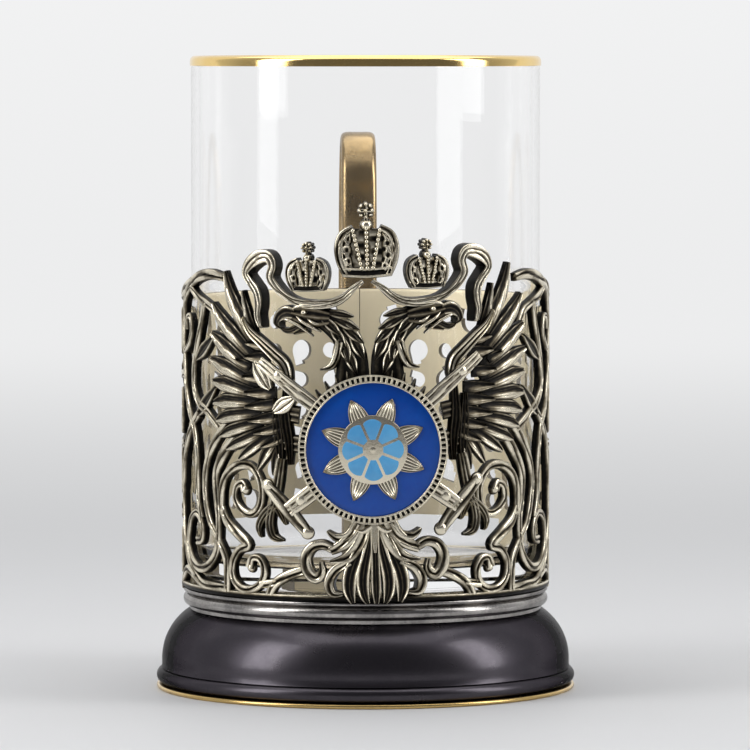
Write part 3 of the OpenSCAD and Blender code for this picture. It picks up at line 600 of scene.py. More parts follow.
    def plate(self, outline: Path, rise: float, polish: float) -> None:
        """Add a low plate.

        Args:
            outline: Squares sideways and up of the points round it.
            rise: Height share at its top.
            polish: How far the black film is worn off it.
        """
        chart = self.chart
        place = np.array(outline, float)[:, :2] * (chart.arc_step, chart.rise_step)
        count = len(place)
        middle = place.mean(axis=0)
        points, crest = [], []
        for out, level in ((1.0, -SUNK), (1.0, 0.7 * rise), (0.86, rise), (0.4, rise)):
            spot = middle + (place - middle) * out
            points.append(chart.wrap(spot, np.full(count, self.radius + level * self.thickness), self.leaned))
            crest.append(np.full(count, polish if level > 0 else 0))
        self.mesh.add_rings(points, crest)


def turned(name: str, profile: Path, material: Material, crease: float = 35, turns: int = TURNS) -> Object:
    """Turn a closed profile about the axis.

    Args:
        name: Name of the piece.
        profile: Radius and height of each point, in metres, round the section.
        material: Its finish.
        crease: Angle above which an edge is sharp, in degrees.
        turns: Points round the axis.

    Returns:
        The object.
    """
    rows = np.array(profile, float)
    angles = np.arange(turns) * 2 * math.pi / turns
    on_axis = rows[:, 0] < 1e-7
    points: list[tuple[float, float, float]] = []
    index: list[list[int]] = []
    for (radius, height), pole in zip(rows, on_axis):
        if pole:
            index.append([len(points)] * turns)
            points.append((0.0, 0.0, height))
        else:
            index.append(list(range(len(points), len(points) + turns)))
            points += [(radius * math.cos(a), radius * math.sin(a), height) for a in angles]
    faces = []
    for i in range(len(rows)):
        k = (i + 1) % len(rows)
        if on_axis[i] and on_axis[k]:
            continue
        for j in range(turns):
            n = (j + 1) % turns
            face = [index[i][j], index[i][n], index[k][n], index[k][j]]
            faces.append(list(dict.fromkeys(face)))
    return finished(name, made_mesh(name, points, faces), material, crease)


def arc(
    middle: Sequence[float], radius: float, start: float, end: float, steps: int = 8
) -> list[tuple[float, float]]:
    """Points of a round corner from one angle to another, in degrees.

    Args:
        middle: Middle of the corner.
        radius: Its radius.
        start: Angle of its first point.
        end: Angle of its last point.
        steps: Number of points.

    Returns:
        The points, with both ends.
    """
    return [
        (middle[0] + radius * math.cos(math.radians(a)), middle[1] + radius * math.sin(math.radians(a)))
        for a in np.linspace(start, end, steps)
    ]


class NodeSheet:
    """Short way to place and join the nodes of a material or a group."""

    def __init__(self, tree: NodeTree) -> None:
        """Start on an empty tree."""
        self.tree = tree

    def add(self, kind: str, *inputs: object, **settings: object) -> Node:
        """Place a node and fill it.

        Args:
            kind: Blender's type of the node.
            *inputs: Values of its first inputs, in their order.
            **settings: Properties and inputs by name, as fill takes them.

        Returns:
            The node.
        """
        node = self.tree.nodes.new(kind)
        self.fill(node, **settings)
        for place, value in enumerate(inputs):
            self.feed(node, place, value)
        return node

    def fill(self, node: Node, **settings: object) -> None:
        """Set properties by name, or inputs by name with spaces as underscores.

        Args:
            node: The node.
            **settings: Value of each property or input.
        """
        for key, value in settings.items():
            if hasattr(node, key):
                setattr(node, key, value)
            else:
                self.feed(node, key.replace("_", " "), value)

    def feed(self, node: Node, socket: str | int, value: object) -> None:
        """Set an input, or join an output or the first output of a node to it.

        Args:
            node: Node that has the input.
            socket: Name or place of the input.
            value: Value, output or node.
        """
        target = node.inputs[socket]
        if isinstance(value, Node):
            value = value.outputs[0]
        if isinstance(value, NodeSocket):
            self.tree.links.new(value, target)
        else:
            target.default_value = value

    def math(self, operation: str, a: object, b: object = 0.0, clamp: bool = False) -> NodeSocket:
        """Join two numbers."""
        return self.add("ShaderNodeMath", a, b, operation=operation, use_clamp=clamp).outputs[0]

    def mix(self, share: object, a: object, b: object) -> NodeSocket:
        """Mix two colours.

        Args:
            share: Share of the second.
            a: First colour.
            b: Second colour.

        Returns:
            The mixed colour.
        """
        node = self.add("ShaderNodeMix", share, data_type="RGBA")
        self.feed(node, 6, a)
        self.feed(node, 7, b)
        return node.outputs[2]

    def ramp(self, value: object, low: float, high: float) -> NodeSocket:
        """Ease a value from 0 at low to 1 at high."""
        return self.add("ShaderNodeMapRange", value, low, high, interpolation_type="SMOOTHSTEP").outputs[0]

    def noise(self, scale: object, **settings: object) -> NodeSocket:
        """Soft noise over the object's own coordinates."""
        place = self.add("ShaderNodeTexCoord").outputs["Object"]
        return self.add("ShaderNodeTexNoise", Vector=place, Scale=scale, **settings).outputs[0]


def shader_group(
    name: str, output: str, **inputs: float
) -> tuple[NodeTree, NodeSheet, Node, Node]:
    """Start a shader node group that works out one number.

    Args:
        name: Name of the group.
        output: Name of the number.
        **inputs: Starting value of each of its number inputs, by name.

    Returns:
        The group, a sheet to place its nodes on, and its input and output nodes.
    """
    group = bpy.data.node_groups.new(name, "ShaderNodeTree")
    for label, value in inputs.items():
        socket = group.interface.new_socket(label, in_out="INPUT", socket_type="NodeSocketFloat")
        socket.default_value = value
    group.interface.new_socket(output, in_out="OUTPUT", socket_type="NodeSocketFloat")
    return group, NodeSheet(group), group.nodes.new("NodeGroupInput"), group.nodes.new("NodeGroupOutput")


class SharedEffects:
    """Shader groups that several finishes use."""

    def __init__(self) -> None:
        """Build the groups."""
        self.patina = self._patina()
        self.outside = self._outside()
        self.grain = self._grain()

    @staticmethod
    def _patina() -> NodeTree:
        """Black film that stays in the hollows and is worn off the high spots.

        Returns:
            The group.
        """
        group, sheet, given, out = shader_group(
            "patina_in_hollows", "Worn", Height=1.0, Low=0.35, High=0.75, Scale=900.0, Breakup=0.3
        )
        noise = sheet.noise(given.outputs["Scale"], Detail=3.0, Roughness=0.6)
        spread = sheet.math("MULTIPLY", sheet.math("SUBTRACT", noise, 0.5), given.outputs["Breakup"])
        height = sheet.math("ADD", given.outputs["Height"], spread)
        sheet.feed(out, "Worn", sheet.ramp(height, given.outputs["Low"], given.outputs["High"]))
        return group

    @staticmethod
    def _outside() -> NodeTree:
        """Mask of the faces that look away from the axis of the glass.

        Returns:
            The group.
        """
        group, sheet, _, out = shader_group("outside_of_band", "Outside")
        here = sheet.add("ShaderNodeTexCoord").outputs
        flat = sheet.add("ShaderNodeVectorMath", here["Object"], (1.0, 1.0, 0.0), operation="MULTIPLY")
        radial = sheet.add("ShaderNodeVectorMath", flat, operation="NORMALIZE")
        facing = sheet.add("ShaderNodeVectorMath", radial, here["Normal"], operation="DOT_PRODUCT")
        sheet.feed(out, "Outside", sheet.ramp(facing.outputs["Value"], -0.75, -0.35))
        return group

    @staticmethod
    def _grain() -> NodeTree:
        """Fine unevenness of cast or polished metal, as a height.

        Returns:
            The group.
        """
        group, sheet, given, out = shader_group("metal_grain", "Height", Scale=2500.0, Coarse=350.0)
        fine = sheet.math("MULTIPLY", sheet.noise(given.outputs["Scale"], Detail=2.0), 0.35)
        coarse = sheet.noise(given.outputs["Coarse"], Detail=2.0)
        sheet.feed(out, "Height", sheet.math("ADD", fine, coarse))
        return group


def new_finish(name: str) -> tuple[Material, NodeSheet, Node]:
    """Start a material.

    Args:
        name: Name of the finish.

    Returns:
        The material, a sheet for its nodes and its Principled shader.
    """
    material = bpy.data.materials.new(name)
    material.use_nodes = True
    return material, NodeSheet(material.node_tree), material.node_tree.nodes["Principled BSDF"]


def placed(sheet: NodeSheet, group: NodeTree, **values: object) -> NodeSocket:
    """The number of a shared group that is placed in a material with its own values."""
    return sheet.add("ShaderNodeGroup", node_tree=group, **values).outputs[0]


def bumped(sheet: NodeSheet, shader: Node, height: object, strength: float) -> None:
    """Feed a height to the shader's normal."""
    bump = sheet.add("ShaderNodeBump", Strength=strength, Distance=GRAIN_DEPTH, Height=height)
    sheet.feed(shader, "Normal", bump.outputs["Normal"])


@dataclass(frozen=True)
class BlackenedSilver:
    """Cast nickel silver with a black film in its hollows and plain inner faces."""

    dark: Colour = (0.014, 0.013, 0.012, 1)
    brown: Colour = (0.15, 0.125, 0.085, 1)
    bright: Colour = (0.84, 0.77, 0.61, 1)
    inner: Colour = (0.86, 0.75, 0.53, 1)

    def material(self, name: str, effects: SharedEffects, carved: bool = True) -> Material:
        """Build the material.

        Args:
            name: Name of the finish.
            effects: Shared shader groups.
            carved: Whether the piece holds its polish in the attribute crest.

        Returns:
            The material.
        """
        material, sheet, shader = new_finish(name)
        polish = PLAIN_WEAR
        if carved:
            polish = sheet.add("ShaderNodeAttribute", attribute_name="crest").outputs["Fac"]
        film = placed(sheet, effects.patina, Height=polish, Low=0.16, High=0.6, Breakup=0.38)
        worn = placed(sheet, effects.patina, Height=polish, Low=0.5, High=0.96, Breakup=0.38)
        outside = placed(sheet, effects.outside)
        face = sheet.mix(worn, sheet.mix(film, self.dark, self.brown), self.bright)
        sheet.fill(
            shader,
            Base_Color=sheet.mix(outside, self.inner, face),
            Roughness=sheet.math("SUBTRACT", 0.46, sheet.math("MULTIPLY", worn, 0.23)),
            Metallic=sheet.math("ADD", sheet.math("MULTIPLY", outside, 0.7), 0.3),
        )
        bumped(sheet, shader, placed(sheet, effects.grain, Scale=2600.0, Coarse=700.0), 0.3)
        return material


@dataclass(frozen=True)
class PlainMetal:
    """A metal of one colour with fine grain.

    Attributes:
        colour: Base colour.
        second: Colour that it drifts to.
        rough: Roughness at its smoothest.
        grain: Strength of its grain.
        coat: Strength of a clear film.
        edge: Brightness at grazing angles.
    """

    colour: Colour
    second: Colour
    rough: float
    grain: float
    coat: float = 0.0
    edge: float = 1.0

    def material(self, name: str, effects: SharedEffects) -> Material:
        """Build the material.

        Args:
            name: Name of the finish.
            effects: Shared shader groups.

        Returns:
            The material.
        """
        material, sheet, shader = new_finish(name)
        grain = placed(sheet, effects.grain, Scale=1800.0, Coarse=160.0)
        drift = sheet.ramp(grain, 0.45, 0.9)
        sheet.fill(
            shader,
            Base_Color=sheet.mix(drift, self.colour, self.second),
            Roughness=sheet.math("ADD", self.rough, sheet.math("MULTIPLY", drift, 0.06)),
            Metallic=1.0,
            Specular_Tint=(self.edge, self.edge, self.edge, 1),
            Coat_Weight=self.coat,
            Coat_Roughness=0.08,
        )
        bumped(sheet, shader, grain, self.grain)
        return material


@dataclass(frozen=True)
class Enamel:
    """Glassy enamel with slight clouding."""

    colour: Colour
    cloud: Colour

    def material(self, name: str, effects: SharedEffects) -> Material:
        """Build the material.

        Args:
            name: Name of the finish.
            effects: Shared shader groups.

        Returns:
            The material.
        """
        material, sheet, shader = new_finish(name)
        grain = placed(sheet, effects.grain, Scale=900.0, Coarse=120.0)
        sheet.fill(
            shader,
            Base_Color=sheet.mix(sheet.ramp(grain, 0.4, 1.0), self.colour, self.cloud),
            Roughness=0.14,
            Specular_IOR_Level=0.25,
            Coat_Weight=0.45,
            Coat_Roughness=0.03,
        )
        bumped(sheet, shader, grain, 0.06)
        return material


def glass_material() -> Material:
    """Clear glass that lets lamp light through to what stands behind it.

    Returns:
        The material.
    """
    material, sheet, shader = new_finish("tea_glass")
    sheet.fill(
        shader,
        Base_Color=(1.0, 1.0, 1.0, 1),
        Specular_Tint=(0.3, 0.3, 0.3, 1),
        Roughness=0.0,
        IOR=1.5,
        Metallic=0.0,
        Transmission_Weight=1.0,
    )
    clear = sheet.add("ShaderNodeBsdfTransparent", Color=(0.985, 0.99, 0.99, 1))
    path = sheet.add("ShaderNodeLightPath")
    blend = sheet.add("ShaderNodeMixShader", path.outputs["Is Shadow Ray"], shader, clear)
    sheet.feed(material.node_tree.nodes["Material Output"], "Surface", blend)
    return material


class Finishes:
    """All finishes of the part."""

    def __init__(self) -> None:
        """Build the materials."""
        effects = SharedEffects()

        def metal(name: str, colour: Colour, second: Colour, *values: float, **more: float) -> Material:
            """A plain metal, from its two colours, its roughness and its grain."""
            return PlainMetal(colour, second, *values, **more).material(name, effects)

        self.carved = BlackenedSilver().material("blackened_silver_carved", effects)
        self.plate = BlackenedSilver().material("blackened_silver_plate", effects, carved=False)
        self.inner = metal("inner_metal", (0.62, 0.54, 0.40, 1), (0.52, 0.45, 0.33, 1), 0.30, 0.15)
        self.handle = metal("handle_metal", (0.46, 0.33, 0.17, 1), (0.30, 0.22, 0.12, 1), 0.22, 0.12)
        self.ring = metal("polished_ring", (0.44, 0.42, 0.40, 1), (0.20, 0.19, 0.185, 1), 0.2, 0.25, edge=0.7)
        self.base = metal(
            "dark_base", (0.075, 0.068, 0.078, 1), (0.062, 0.056, 0.066, 1), 0.27, 0.05, coat=0.12, edge=0.25
        )
        self.bead = metal("brass_bead", (0.70, 0.50, 0.20, 1), (0.6, 0.42, 0.17, 1), 0.2, 0.08)
        self.steel = metal("plain_steel", (0.5, 0.5, 0.52, 1), (0.42, 0.42, 0.44, 1), 0.32, 0.2)
        self.gilding = metal("gilding", (0.92, 0.68, 0.28, 1), (0.9, 0.64, 0.24, 1), 0.1, 0.02)
        self.blue = Enamel((0.0, 0.055, 0.36, 1), (0.0, 0.075, 0.43, 1)).material("blue_enamel", effects)
        self.pale = Enamel((0.09, 0.36, 0.70, 1), (0.14, 0.46, 0.80, 1)).material("pale_enamel", effects)
        self.glass = glass_material()


@dataclass
class Maker:
    """What everything that makes pieces holds."""

    layout: Layout
    finishes: Finishes

    def turn(
        self, node: str, profile: Path, material: Material, slot: Slot, body: Body = Body.HOLDER
    ) -> None:
        """Turn a profile about the axis and let it stand for its node.

        Args:
            node: Node that it stands for.
            profile: Radius and height of each point of its section.
            material: Its finish.
            slot: Its slot.
            body: Body that it rides on.
        """
        turns = GLASS_TURNS if body is Body.GLASS else TURNS
        hand_over(turned(f"{node}_dressed", profile, material, TURNED_CREASE, turns), body, slot, node)


@dataclass
class SpunBase(Maker):
    """Foot bead, dark base, polished neck ring and lower rail, all turned.

    Attributes:
        bead_h: Height of the foot bead.
        edge_h: Height of the rolled edge above it.
        wall: Thickness of the base's sheet.
        hole_r: Radius of the hole for the screw.
    """

    bead_h: float = 0.9 * MM
    edge_h: float = 3.0 * MM
    wall: float = 1.5 * MM
    hole_r: float = 2.6 * MM

    def build(self) -> None:
        """Make the turned pieces and hand them over, and finish the fastening."""
        foot_r, neck_r = self.layout.foot_r, self.layout.panel_r - 1.1 * self.wall
        self.build_bead(foot_r)
        self.build_skirt(foot_r, neck_r)
        self.build_ring(neck_r)
        self.build_rail()
        dress_node("floor_plate", self.finishes.inner)
        for node in ("centre_screw", "centre_washer", "centre_nut"):
            dress_node(node, self.finishes.steel)

    def build_bead(self, foot_r: float) -> None:
        """Brass bead that the holder stands on.

        Args:
            foot_r: Radius of the foot.
        """
        nose = self.bead_h / 2
        bead = arc((foot_r - nose, nose), nose, -90, 90)
        bead += [(foot_r - 4.1 * nose, 2 * nose), (foot_r - 8 * nose, 2 * nose), (foot_r - 8 * nose, 0)]
        piece = turned("foot_bead_dressed", bead, self.finishes.bead)
        hand_over(piece, Body.HOLDER, Slot.BEAD, "foot_bead")

    def build_skirt(self, foot_r: float, neck_r: float) -> None:
        """Dark shell with a rolled edge, a round shoulder and a flat top.

        Args:
            foot_r: Radius of the foot.
            neck_r: Radius of the neck.
        """
        low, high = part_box("base_skirt")
        roll = (self.edge_h - SEAM) / 2
        bulge_r = foot_r - 0.34 * self.edge_h
        shoulder_z = self.bead_h + self.edge_h + 1.8 * self.bead_h
        drop, rise = bulge_r - neck_r, high.z - shoulder_z
        sweep_r = (drop**2 + rise**2) / (2 * drop)
        middle = (bulge_r - sweep_r, shoulder_z)
        end = math.degrees(math.asin(rise / sweep_r))
        inner_end = math.degrees(math.asin((rise - self.wall) / (sweep_r - self.wall)))
        outer = [(bulge_r - self.wall, low.z), (foot_r - roll, low.z)]
        outer += arc((foot_r - roll, low.z + roll), roll, -75, 80, 12)
        edge_z = low.z + 2 * roll
        outer += [(bulge_r + 0.12 * MM, edge_z + 0.05 * MM), (bulge_r, edge_z + 0.35 * MM)]
        outer += arc(middle, sweep_r, 0, end, 28)
        outer += [(self.hole_r, high.z), (self.hole_r, high.z - self.wall)]
        outer += arc(middle, sweep_r - self.wall, inner_end, 0, 20)
        self.turn("base_skirt", outer, self.finishes.base, Slot.BASE)

    def build_ring(self, neck_r: float) -> None:
        """Polished ring with a large and a small bead.

        Args:
            neck_r: Radius of the neck.
        """
        low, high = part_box("neck_ring")
        tall = high.z - low.z
        inner_r, foot_r = neck_r - 3.6 * MM, neck_r + 0.1 * MM
        lip = [(inner_r, low.z), (foot_r, low.z), (foot_r, low.z + 0.14 * tall)]
        lip += arc((high.x - 0.3 * tall, low.z + 0.46 * tall), 0.3 * tall, -60, 55, 12)
        lip += [(high.x - 0.22 * tall, low.z + 0.76 * tall)]
        lip += arc((high.x - 0.1 * tall, low.z + 0.9 * tall), 0.1 * tall, -70, 90, 8)
        lip += [(inner_r, high.z)]
        self.turn("neck_ring", lip, self.finishes.ring, Slot.RING)

    def build_rail(self) -> None:
        """Round rail that carries the openwork, painted bright on its upper half and dark on its lower half,
        as light from above falls on it.
        """
        low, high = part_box("lower_rail")
        half, inner_r = (high.z - low.z) / 2, self.layout.band_in_r
        rail = arc((high.x - half, low.z + half), half, -90, 90, 14)
        rail += [(inner_r, high.z), (inner_r, low.z)]
        piece = turned("lower_rail_dressed", rail, self.finishes.carved)
        # Painted highlight and shade: the polish grows with height, bright at the top of the rail and dark on
        # its lower half.
        store_crest(piece, lambda p: max(0.0, min(0.85, (p.z - low.z) / half - 0.8)))
        hand_over(piece, Body.HOLDER, Slot.OPENWORK, "lower_rail")


def store_crest(piece: Object, value: Callable[[Vector], float]) -> None:
    """Store the polish of a piece in the attribute crest, from a point in the row frame."""
    attribute = piece.data.attributes.new("crest", "FLOAT", "POINT")
    attribute.data.foreach_set("value", [value(v.co) for v in piece.data.vertices])


def dress_node(node: str, material: Material) -> None:
    """Give a CAD node its finish.

    Args:
        node: Name of the node.
        material: The finish.
    """
    mesh = bpy.data.objects[node].data
    mesh.materials.clear()
    mesh.materials.append(material)


@dataclass
class TeaGlass(Maker):
    """The drinking glass and its gilt lip.

    Attributes:
        wall: Thickness of its wall.
        bottom: Thickness of its bottom.
    """

    wall: float = 1.6 * MM
    bottom: float = 4.4 * MM

    def build(self) -> None:
        """Make the glass and hand it over."""
        out_r, low = self.layout.glass_r, self.layout.glass_z
        in_r = out_r - self.wall
        edge, hollow = 0.7 * self.wall, 2 * self.wall
        floor_z = low + self.bottom
        section = [(0, low), (out_r - edge, low)]
        section += arc((out_r - edge, low + edge), edge, -80, 0, 6)
        section += [(out_r, self.layout.rim_z), (in_r, self.layout.rim_z)]
        section += arc((in_r - hollow, floor_z + hollow), hollow, 0, -80, 8)
        section += [(in_r - hollow, floor_z), (0, floor_z)]
        self.turn("tumbler", section, self.finishes.glass, Slot.GLASS, Body.GLASS)
        rim_low, rim_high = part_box("gilt_rim")
        nose = self.wall / 2 + 0.2 * MM
        middle_r = out_r - self.wall / 2
        lip = [(middle_r + nose, rim_low.z)]
        lip += arc((middle_r, rim_high.z - nose), nose, 0, 180, 14)
        lip += [(middle_r - nose, rim_low.z)]
        self.turn("gilt_rim", lip, self.finishes.gilding, Slot.GILDING, Body.GLASS)


@dataclass
class StrapHandle(Maker):
    """Strap handle behind the glass, swept along its bend.

    Attributes:
        width: Width of the strap.
        thickness: Its thickness.
        reach: How far its middle line stands out.
        height: Height of its middle line.
        bend: Shares of reach and height along the middle line.
    """

    width: float = 7.2 * MM
    thickness: float = 2.6 * MM
    reach: float = 26 * MM
    height: float = 80 * MM
    bend: Path = (
        (0, 0), (0, 0.05), (0, 0.095), (0.09, 0.145), (0.3, 0.19), (0.55, 0.245), (0.78, 0.33), (0.94, 0.45),
        (1, 0.58), (0.98, 0.71), (0.9, 0.82), (0.76, 0.91), (0.58, 0.965), (0.38, 0.985), (0.19, 0.965),
        (0.05, 0.9), (0, 0.82), (0, 0.74), (0, 0.66), (0, 0.59), (0, 0.54),
    )  # fmt: skip

    def section(self) -> list[tuple[float, float]]:
        """Rounded strap with a shallow hollow on both faces.

        Returns:
            Points round it, in shares of its width and thickness.
        """
        across = np.sin(np.linspace(-1, 1, 13) * math.pi / 2)
        top = [(0.5 * a, 0.5 * (1 - abs(a) ** 5) ** 0.5 - 0.07 * (1 - a * a)) for a in across]
        return top + [(a, -b) for a, b in reversed(top[1:-1])]

    def build(self) -> None:
        """Make the handle and hand it over."""
        foot_z = self.layout.band_z + 0.09 * CHART_RISE * MM
        strap_y = self.layout.panel_r + LAYER_GAP + self.thickness / 2
        rows = np.array(self.bend, float) * (self.reach, self.height)
        line = smooth_path(rows.tolist(), 0.9 * MM)
        heading = np.gradient(line, axis=0)
        heading /= np.linalg.norm(heading, axis=1, keepdims=True) + 1e-12
        section = self.section()
        points = []
        for (reach, rise), (dy, dz) in zip(line, heading):
            for a, b in section:
                depth = strap_y + reach - dz * b * self.thickness
                points.append((a * self.width, depth, foot_z + rise + dy * b * self.thickness))
        count, rings = len(section), len(line)
        faces = ring_faces(rings, count)
        faces += [list(range(count)), [(rings - 1) * count + j for j in range(count)]]
        mesh = made_mesh("handle_dressed", points, faces)
        handle = finished("handle_dressed", mesh, self.finishes.handle, TURNED_CREASE)
        hand_over(handle, Body.HOLDER, Slot.HANDLE, "handle")


FEATHERS: tuple[Path, ...] = (
    ((22, 18.5, 1.4), (25.5, 23.5, 2.8), (28.6, 28.6, 2.6), (30, 33.4, 0.9)),
    ((21.8, 19.6, 1), (24.2, 24.2, 1.9), (25.4, 29.8, 0.6)),
    ((22.4, 16.4, 1.4), (27, 20.5, 2.7), (31, 24, 2.7), (33.6, 27.4, 0.8)),
    ((22.4, 14.2, 1.4), (27, 16.9, 2.6), (31.2, 19.6, 2.8), (34.3, 21.8, 0.9)),
    ((22.4, 12.2, 1.4), (27, 14.1, 2.5), (31.2, 15.7, 2.8), (34.8, 17, 0.9)),
    ((22.4, 10.4, 1.4), (27, 11.4, 2.4), (31.2, 12.3, 2.7), (34.3, 12.7, 0.9)),
    ((22.4, 8.8, 1.4), (27, 9, 2.3), (31.2, 9, 2.6), (34, 8.7, 0.9)),
    ((22.2, 7, 1.4), (27, 6.6, 2.3), (31, 6, 2.3), (33.2, 5.3, 0.8)),
    ((21.8, 5.2, 1.4), (26.4, 4.3, 2.2), (30, 3.3, 2.1), (32.2, 2.4, 0.7)),
    ((21, 3.8, 1.2), (25, 2.2, 2.1), (28.4, 0.9, 1.9), (30.4, 0, 0.6)),
    ((20, 2.8, 1.2), (23.4, 0.8, 2), (25.8, -0.8, 1.7), (27.4, -2, 0.5)),
    ((18.6, 2.4, 1.2), (21, -0.6, 2), (22.8, -3.8, 0.5)),
    ((17, 2, 1.2), (18.8, -1.4, 1.8), (19.4, -4.8, 0.5)),
)  # fmt: skip
WING_EDGE: Path = (
    (25.4, 24.8, 0.6), (23.8, 22.2, 1.7), (21.2, 20, 2.2), (18.6, 17.8, 2.6), (16.6, 15.9, 2.7),
    (15.8, 13.4, 2), (16.3, 11.6, 0.8),
)  # fmt: skip
TROUSERS: tuple[Path, ...] = (
    ((16.4, 11.4, 1.4), (16.6, 6, 2.4), (16, 1.6, 2.2), (15.8, -2.8, 1)),
    ((18.6, 9.6, 1.2), (18.4, 5, 2.2), (18, 0.6, 2.2), (17.8, -4, 1)),
)  # fmt: skip
WING_ROOTS: tuple[Path, ...] = (
    ((17.4, 7, 3.4), (13.9, 6.4, 3.4)), ((17.6, 1.4, 3.4), (13.9, 1, 3.4)),
)  # fmt: skip
MUSCLES: tuple[Path, ...] = (
    ((22.7, 16.6, 0.6), (21.9, 14.8, 2.5), (20.6, 12.9, 2.8), (19.4, 11.4, 0.8)),
    ((18.8, 7.2, 1), (17.6, 7.9, 2.4), (16.2, 8.7, 2.6), (14.8, 9.6, 1.2)),
)  # fmt: skip
COVERTS: tuple[Path, ...] = (
    ((20.2, 19.4, 2.2), (25, 20, 0.6)), ((19.8, 17, 2.4), (25.4, 17.4, 0.6)),
    ((24.2, 15.4, 1.8), (28, 17, 0.5)), ((20.6, 13.4, 2.2), (26.2, 13.6, 0.6)),
    ((18.6, 10.6, 2.4), (25.8, 10.6, 0.6)), ((18.2, 8.4, 2.4), (25.6, 8, 0.6)),
    ((17.8, 6.2, 2.4), (24.8, 5.4, 0.6)), ((17.4, 4.2, 2.2), (23.6, 3, 0.6)),
    ((17, 2.4, 2), (22, 0.4, 0.6)),
)  # fmt: skip
LEG: Path = ((17.6, -1.6, 2), (18.4, -5.6, 2.4), (19.2, -9.4, 2.2), (19.8, -11.4, 1.8))
TALONS: tuple[Path, ...] = (
    ((19.4, -10.4, 1.6), (21.6, -12.2, 1.7), (22.8, -14.4, 1.4), (22.3, -16.4, 0.4)),
    ((19.8, -10.8, 1.6), (20.4, -13.8, 1.8), (19.7, -16.2, 1.6), (17.6, -16.9, 0.4)),
    ((19, -10.2, 1.4), (17.8, -12.2, 1.4), (17, -14, 0.4)),
)  # fmt: skip
NECK: Path = (
    (10.4, 25, 3.4), (7.2, 23.6, 4.6), (4.9, 21.2, 4.8), (3.5, 18.2, 5.4), (3.3, 15, 6.2), (3.6, 8, 7),
)  # fmt: skip
HEAD: Path = ((7.4, 24.4, 2.8), (10, 24.6, 4.2), (12.6, 25, 3.9), (14.8, 25.5, 2.6))
BEAKS: tuple[Path, ...] = (
    ((14.4, 25.3, 2.2), (15.8, 25.6, 2.8), (17.2, 25, 2.3), (17.9, 23.7, 1.3), (17.3, 22.7, 0.4)),
    ((17.2, 22.7, 0.4), (15.4, 22.2, 1.2), (13.4, 23, 1.4)),
    ((14.6, 21.6, 0.4), (13.5, 22.1, 1), (11.6, 22.3, 0.9)),
)  # fmt: skip
HEAD_LINES: tuple[Path, ...] = (
    ((14.2, 25.2, 0.3), (12.6, 23.9, 0.7), (10.9, 22.9, 0.7), (9.2, 21.9, 0.3)),
    ((17.4, 24.6, 0.3), (15.6, 24.3, 0.7), (13.7, 23.4, 0.7), (12.1, 22.3, 0.6), (10.7, 21.1, 0.3)),
    ((9.8, 26.4, 0.3), (11.4, 26.9, 0.8), (13.4, 26.7, 0.8), (15, 26, 0.3)),
    ((9, 23.2, 0.3), (10.4, 23.6, 0.7), (12, 24.6, 0.3)),
)  # fmt: skip
BREAST_CURL: Path = ((5.6, 20, 1.6), (6.3, 17.2, 1.5), (7.4, 15.4, 1.3), (9.5, 14.9, 0.4))
PLUMES: tuple[Path, ...] = (
    ((7.4, 25.5, 1.4), (2.8, 24.6, 0.3)), ((6.2, 24.2, 1.6), (1.8, 22.2, 0.3)),
    ((4.6, 22.8, 1.7), (1, 19.6, 0.3)), ((8.6, 24.4, 1.6), (5.2, 21.2, 0.3)),
    ((7, 22.8, 1.7), (4.4, 18.8, 0.3)), ((3.2, 21, 1.9), (1, 16.6, 0.3)),
    ((5.2, 20.6, 1.9), (3.9, 15.9, 0.3)), ((6.2, 19.4, 1.4), (6.2, 15.8, 0.3)),
    ((4.4, 18.6, 1.8), (2.5, 13.9, 0.3)),
)  # fmt: skip
TAIL: tuple[Path, ...] = (
    ((1.8, -8, 3), (3.2, -14.4, 2.6), (5.6, -17.4, 2.3), (8.4, -18.9, 1.6)),
    ((3.4, -13.8, 1.6), (5, -16, 1.5), (7.2, -16.5, 1.4), (9, -15.2, 0.4)),
    ((1.6, -14.5, 2.2), (3.2, -18, 2.2), (5.4, -20.3, 2), (8.6, -20.9, 0.5)),
    ((4.8, -21, 1.4), (7.6, -22.5, 1.8), (8.9, -24.8, 1.8), (8.2, -26.9, 1.5), (6.2, -27, 0.5)),
)  # fmt: skip
FAN: tuple[Path, ...] = (
    ((1.3, -14.6, 1.8), (3.2, -19.4, 2.6), (4.7, -23.4, 3), (5, -26.4, 2.6), (4.4, -28.7, 1)),
    ((0.6, -14.6, 1.4), (1.5, -19.4, 2.2), (2.4, -24, 2.6), (2.3, -27, 2.2), (1.6, -28.9, 0.8)),
)  # fmt: skip
FLEUR: tuple[Path, ...] = (
    ((0.6, -14.4, 1.4), (2.2, -15.4, 1.4), (3.4, -15, 0.5)),
    ((0, -14.2, 2.4), (0, -16.4, 2), (0, -19.4, 0.7)),
)  # fmt: skip
TAIL_CURL: Path = (
    (8, -18.5, 1.7), (9.8, -17.7, 1.8), (11.9, -18.2, 2), (13.2, -20.2, 2.1), (12.8, -22.6, 2.3),
    (11.3, -23.9, 2.2), (10.1, -22.8, 1.5), (10.2, -20.9, 0.7),
)  # fmt: skip
TAIL_MIDDLE: Path = ((0, -8, 2), (0, -20, 1.7), (0, -26, 1.9), (0, -28.9, 0.9))
SASH: Path = (
    (0.9, 31.1, 0.8), (2.9, 29.7, 1.2), (4.7, 28.2, 1.5), (6.6, 27.3, 1.7), (9, 27, 1.7),
    (11.4, 27.1, 1.7), (13.6, 27.6, 1.5), (15.6, 28.6, 1.4), (17.5, 30.1, 1.6), (18.9, 32.2, 1.6),
    (18.4, 34.4, 1.7), (19.4, 36, 2.2), (21.6, 35.9, 2.8), (23.6, 34.6, 2.4), (24.4, 32.9, 1.5),
    (23.2, 31.2, 1.6), (21.9, 29.4, 1.8), (21.6, 27.2, 1.5), (21.9, 25.4, 1.3), (21.6, 23.8, 1.1),
    (21.3, 22.8, 0.5),
)  # fmt: skip


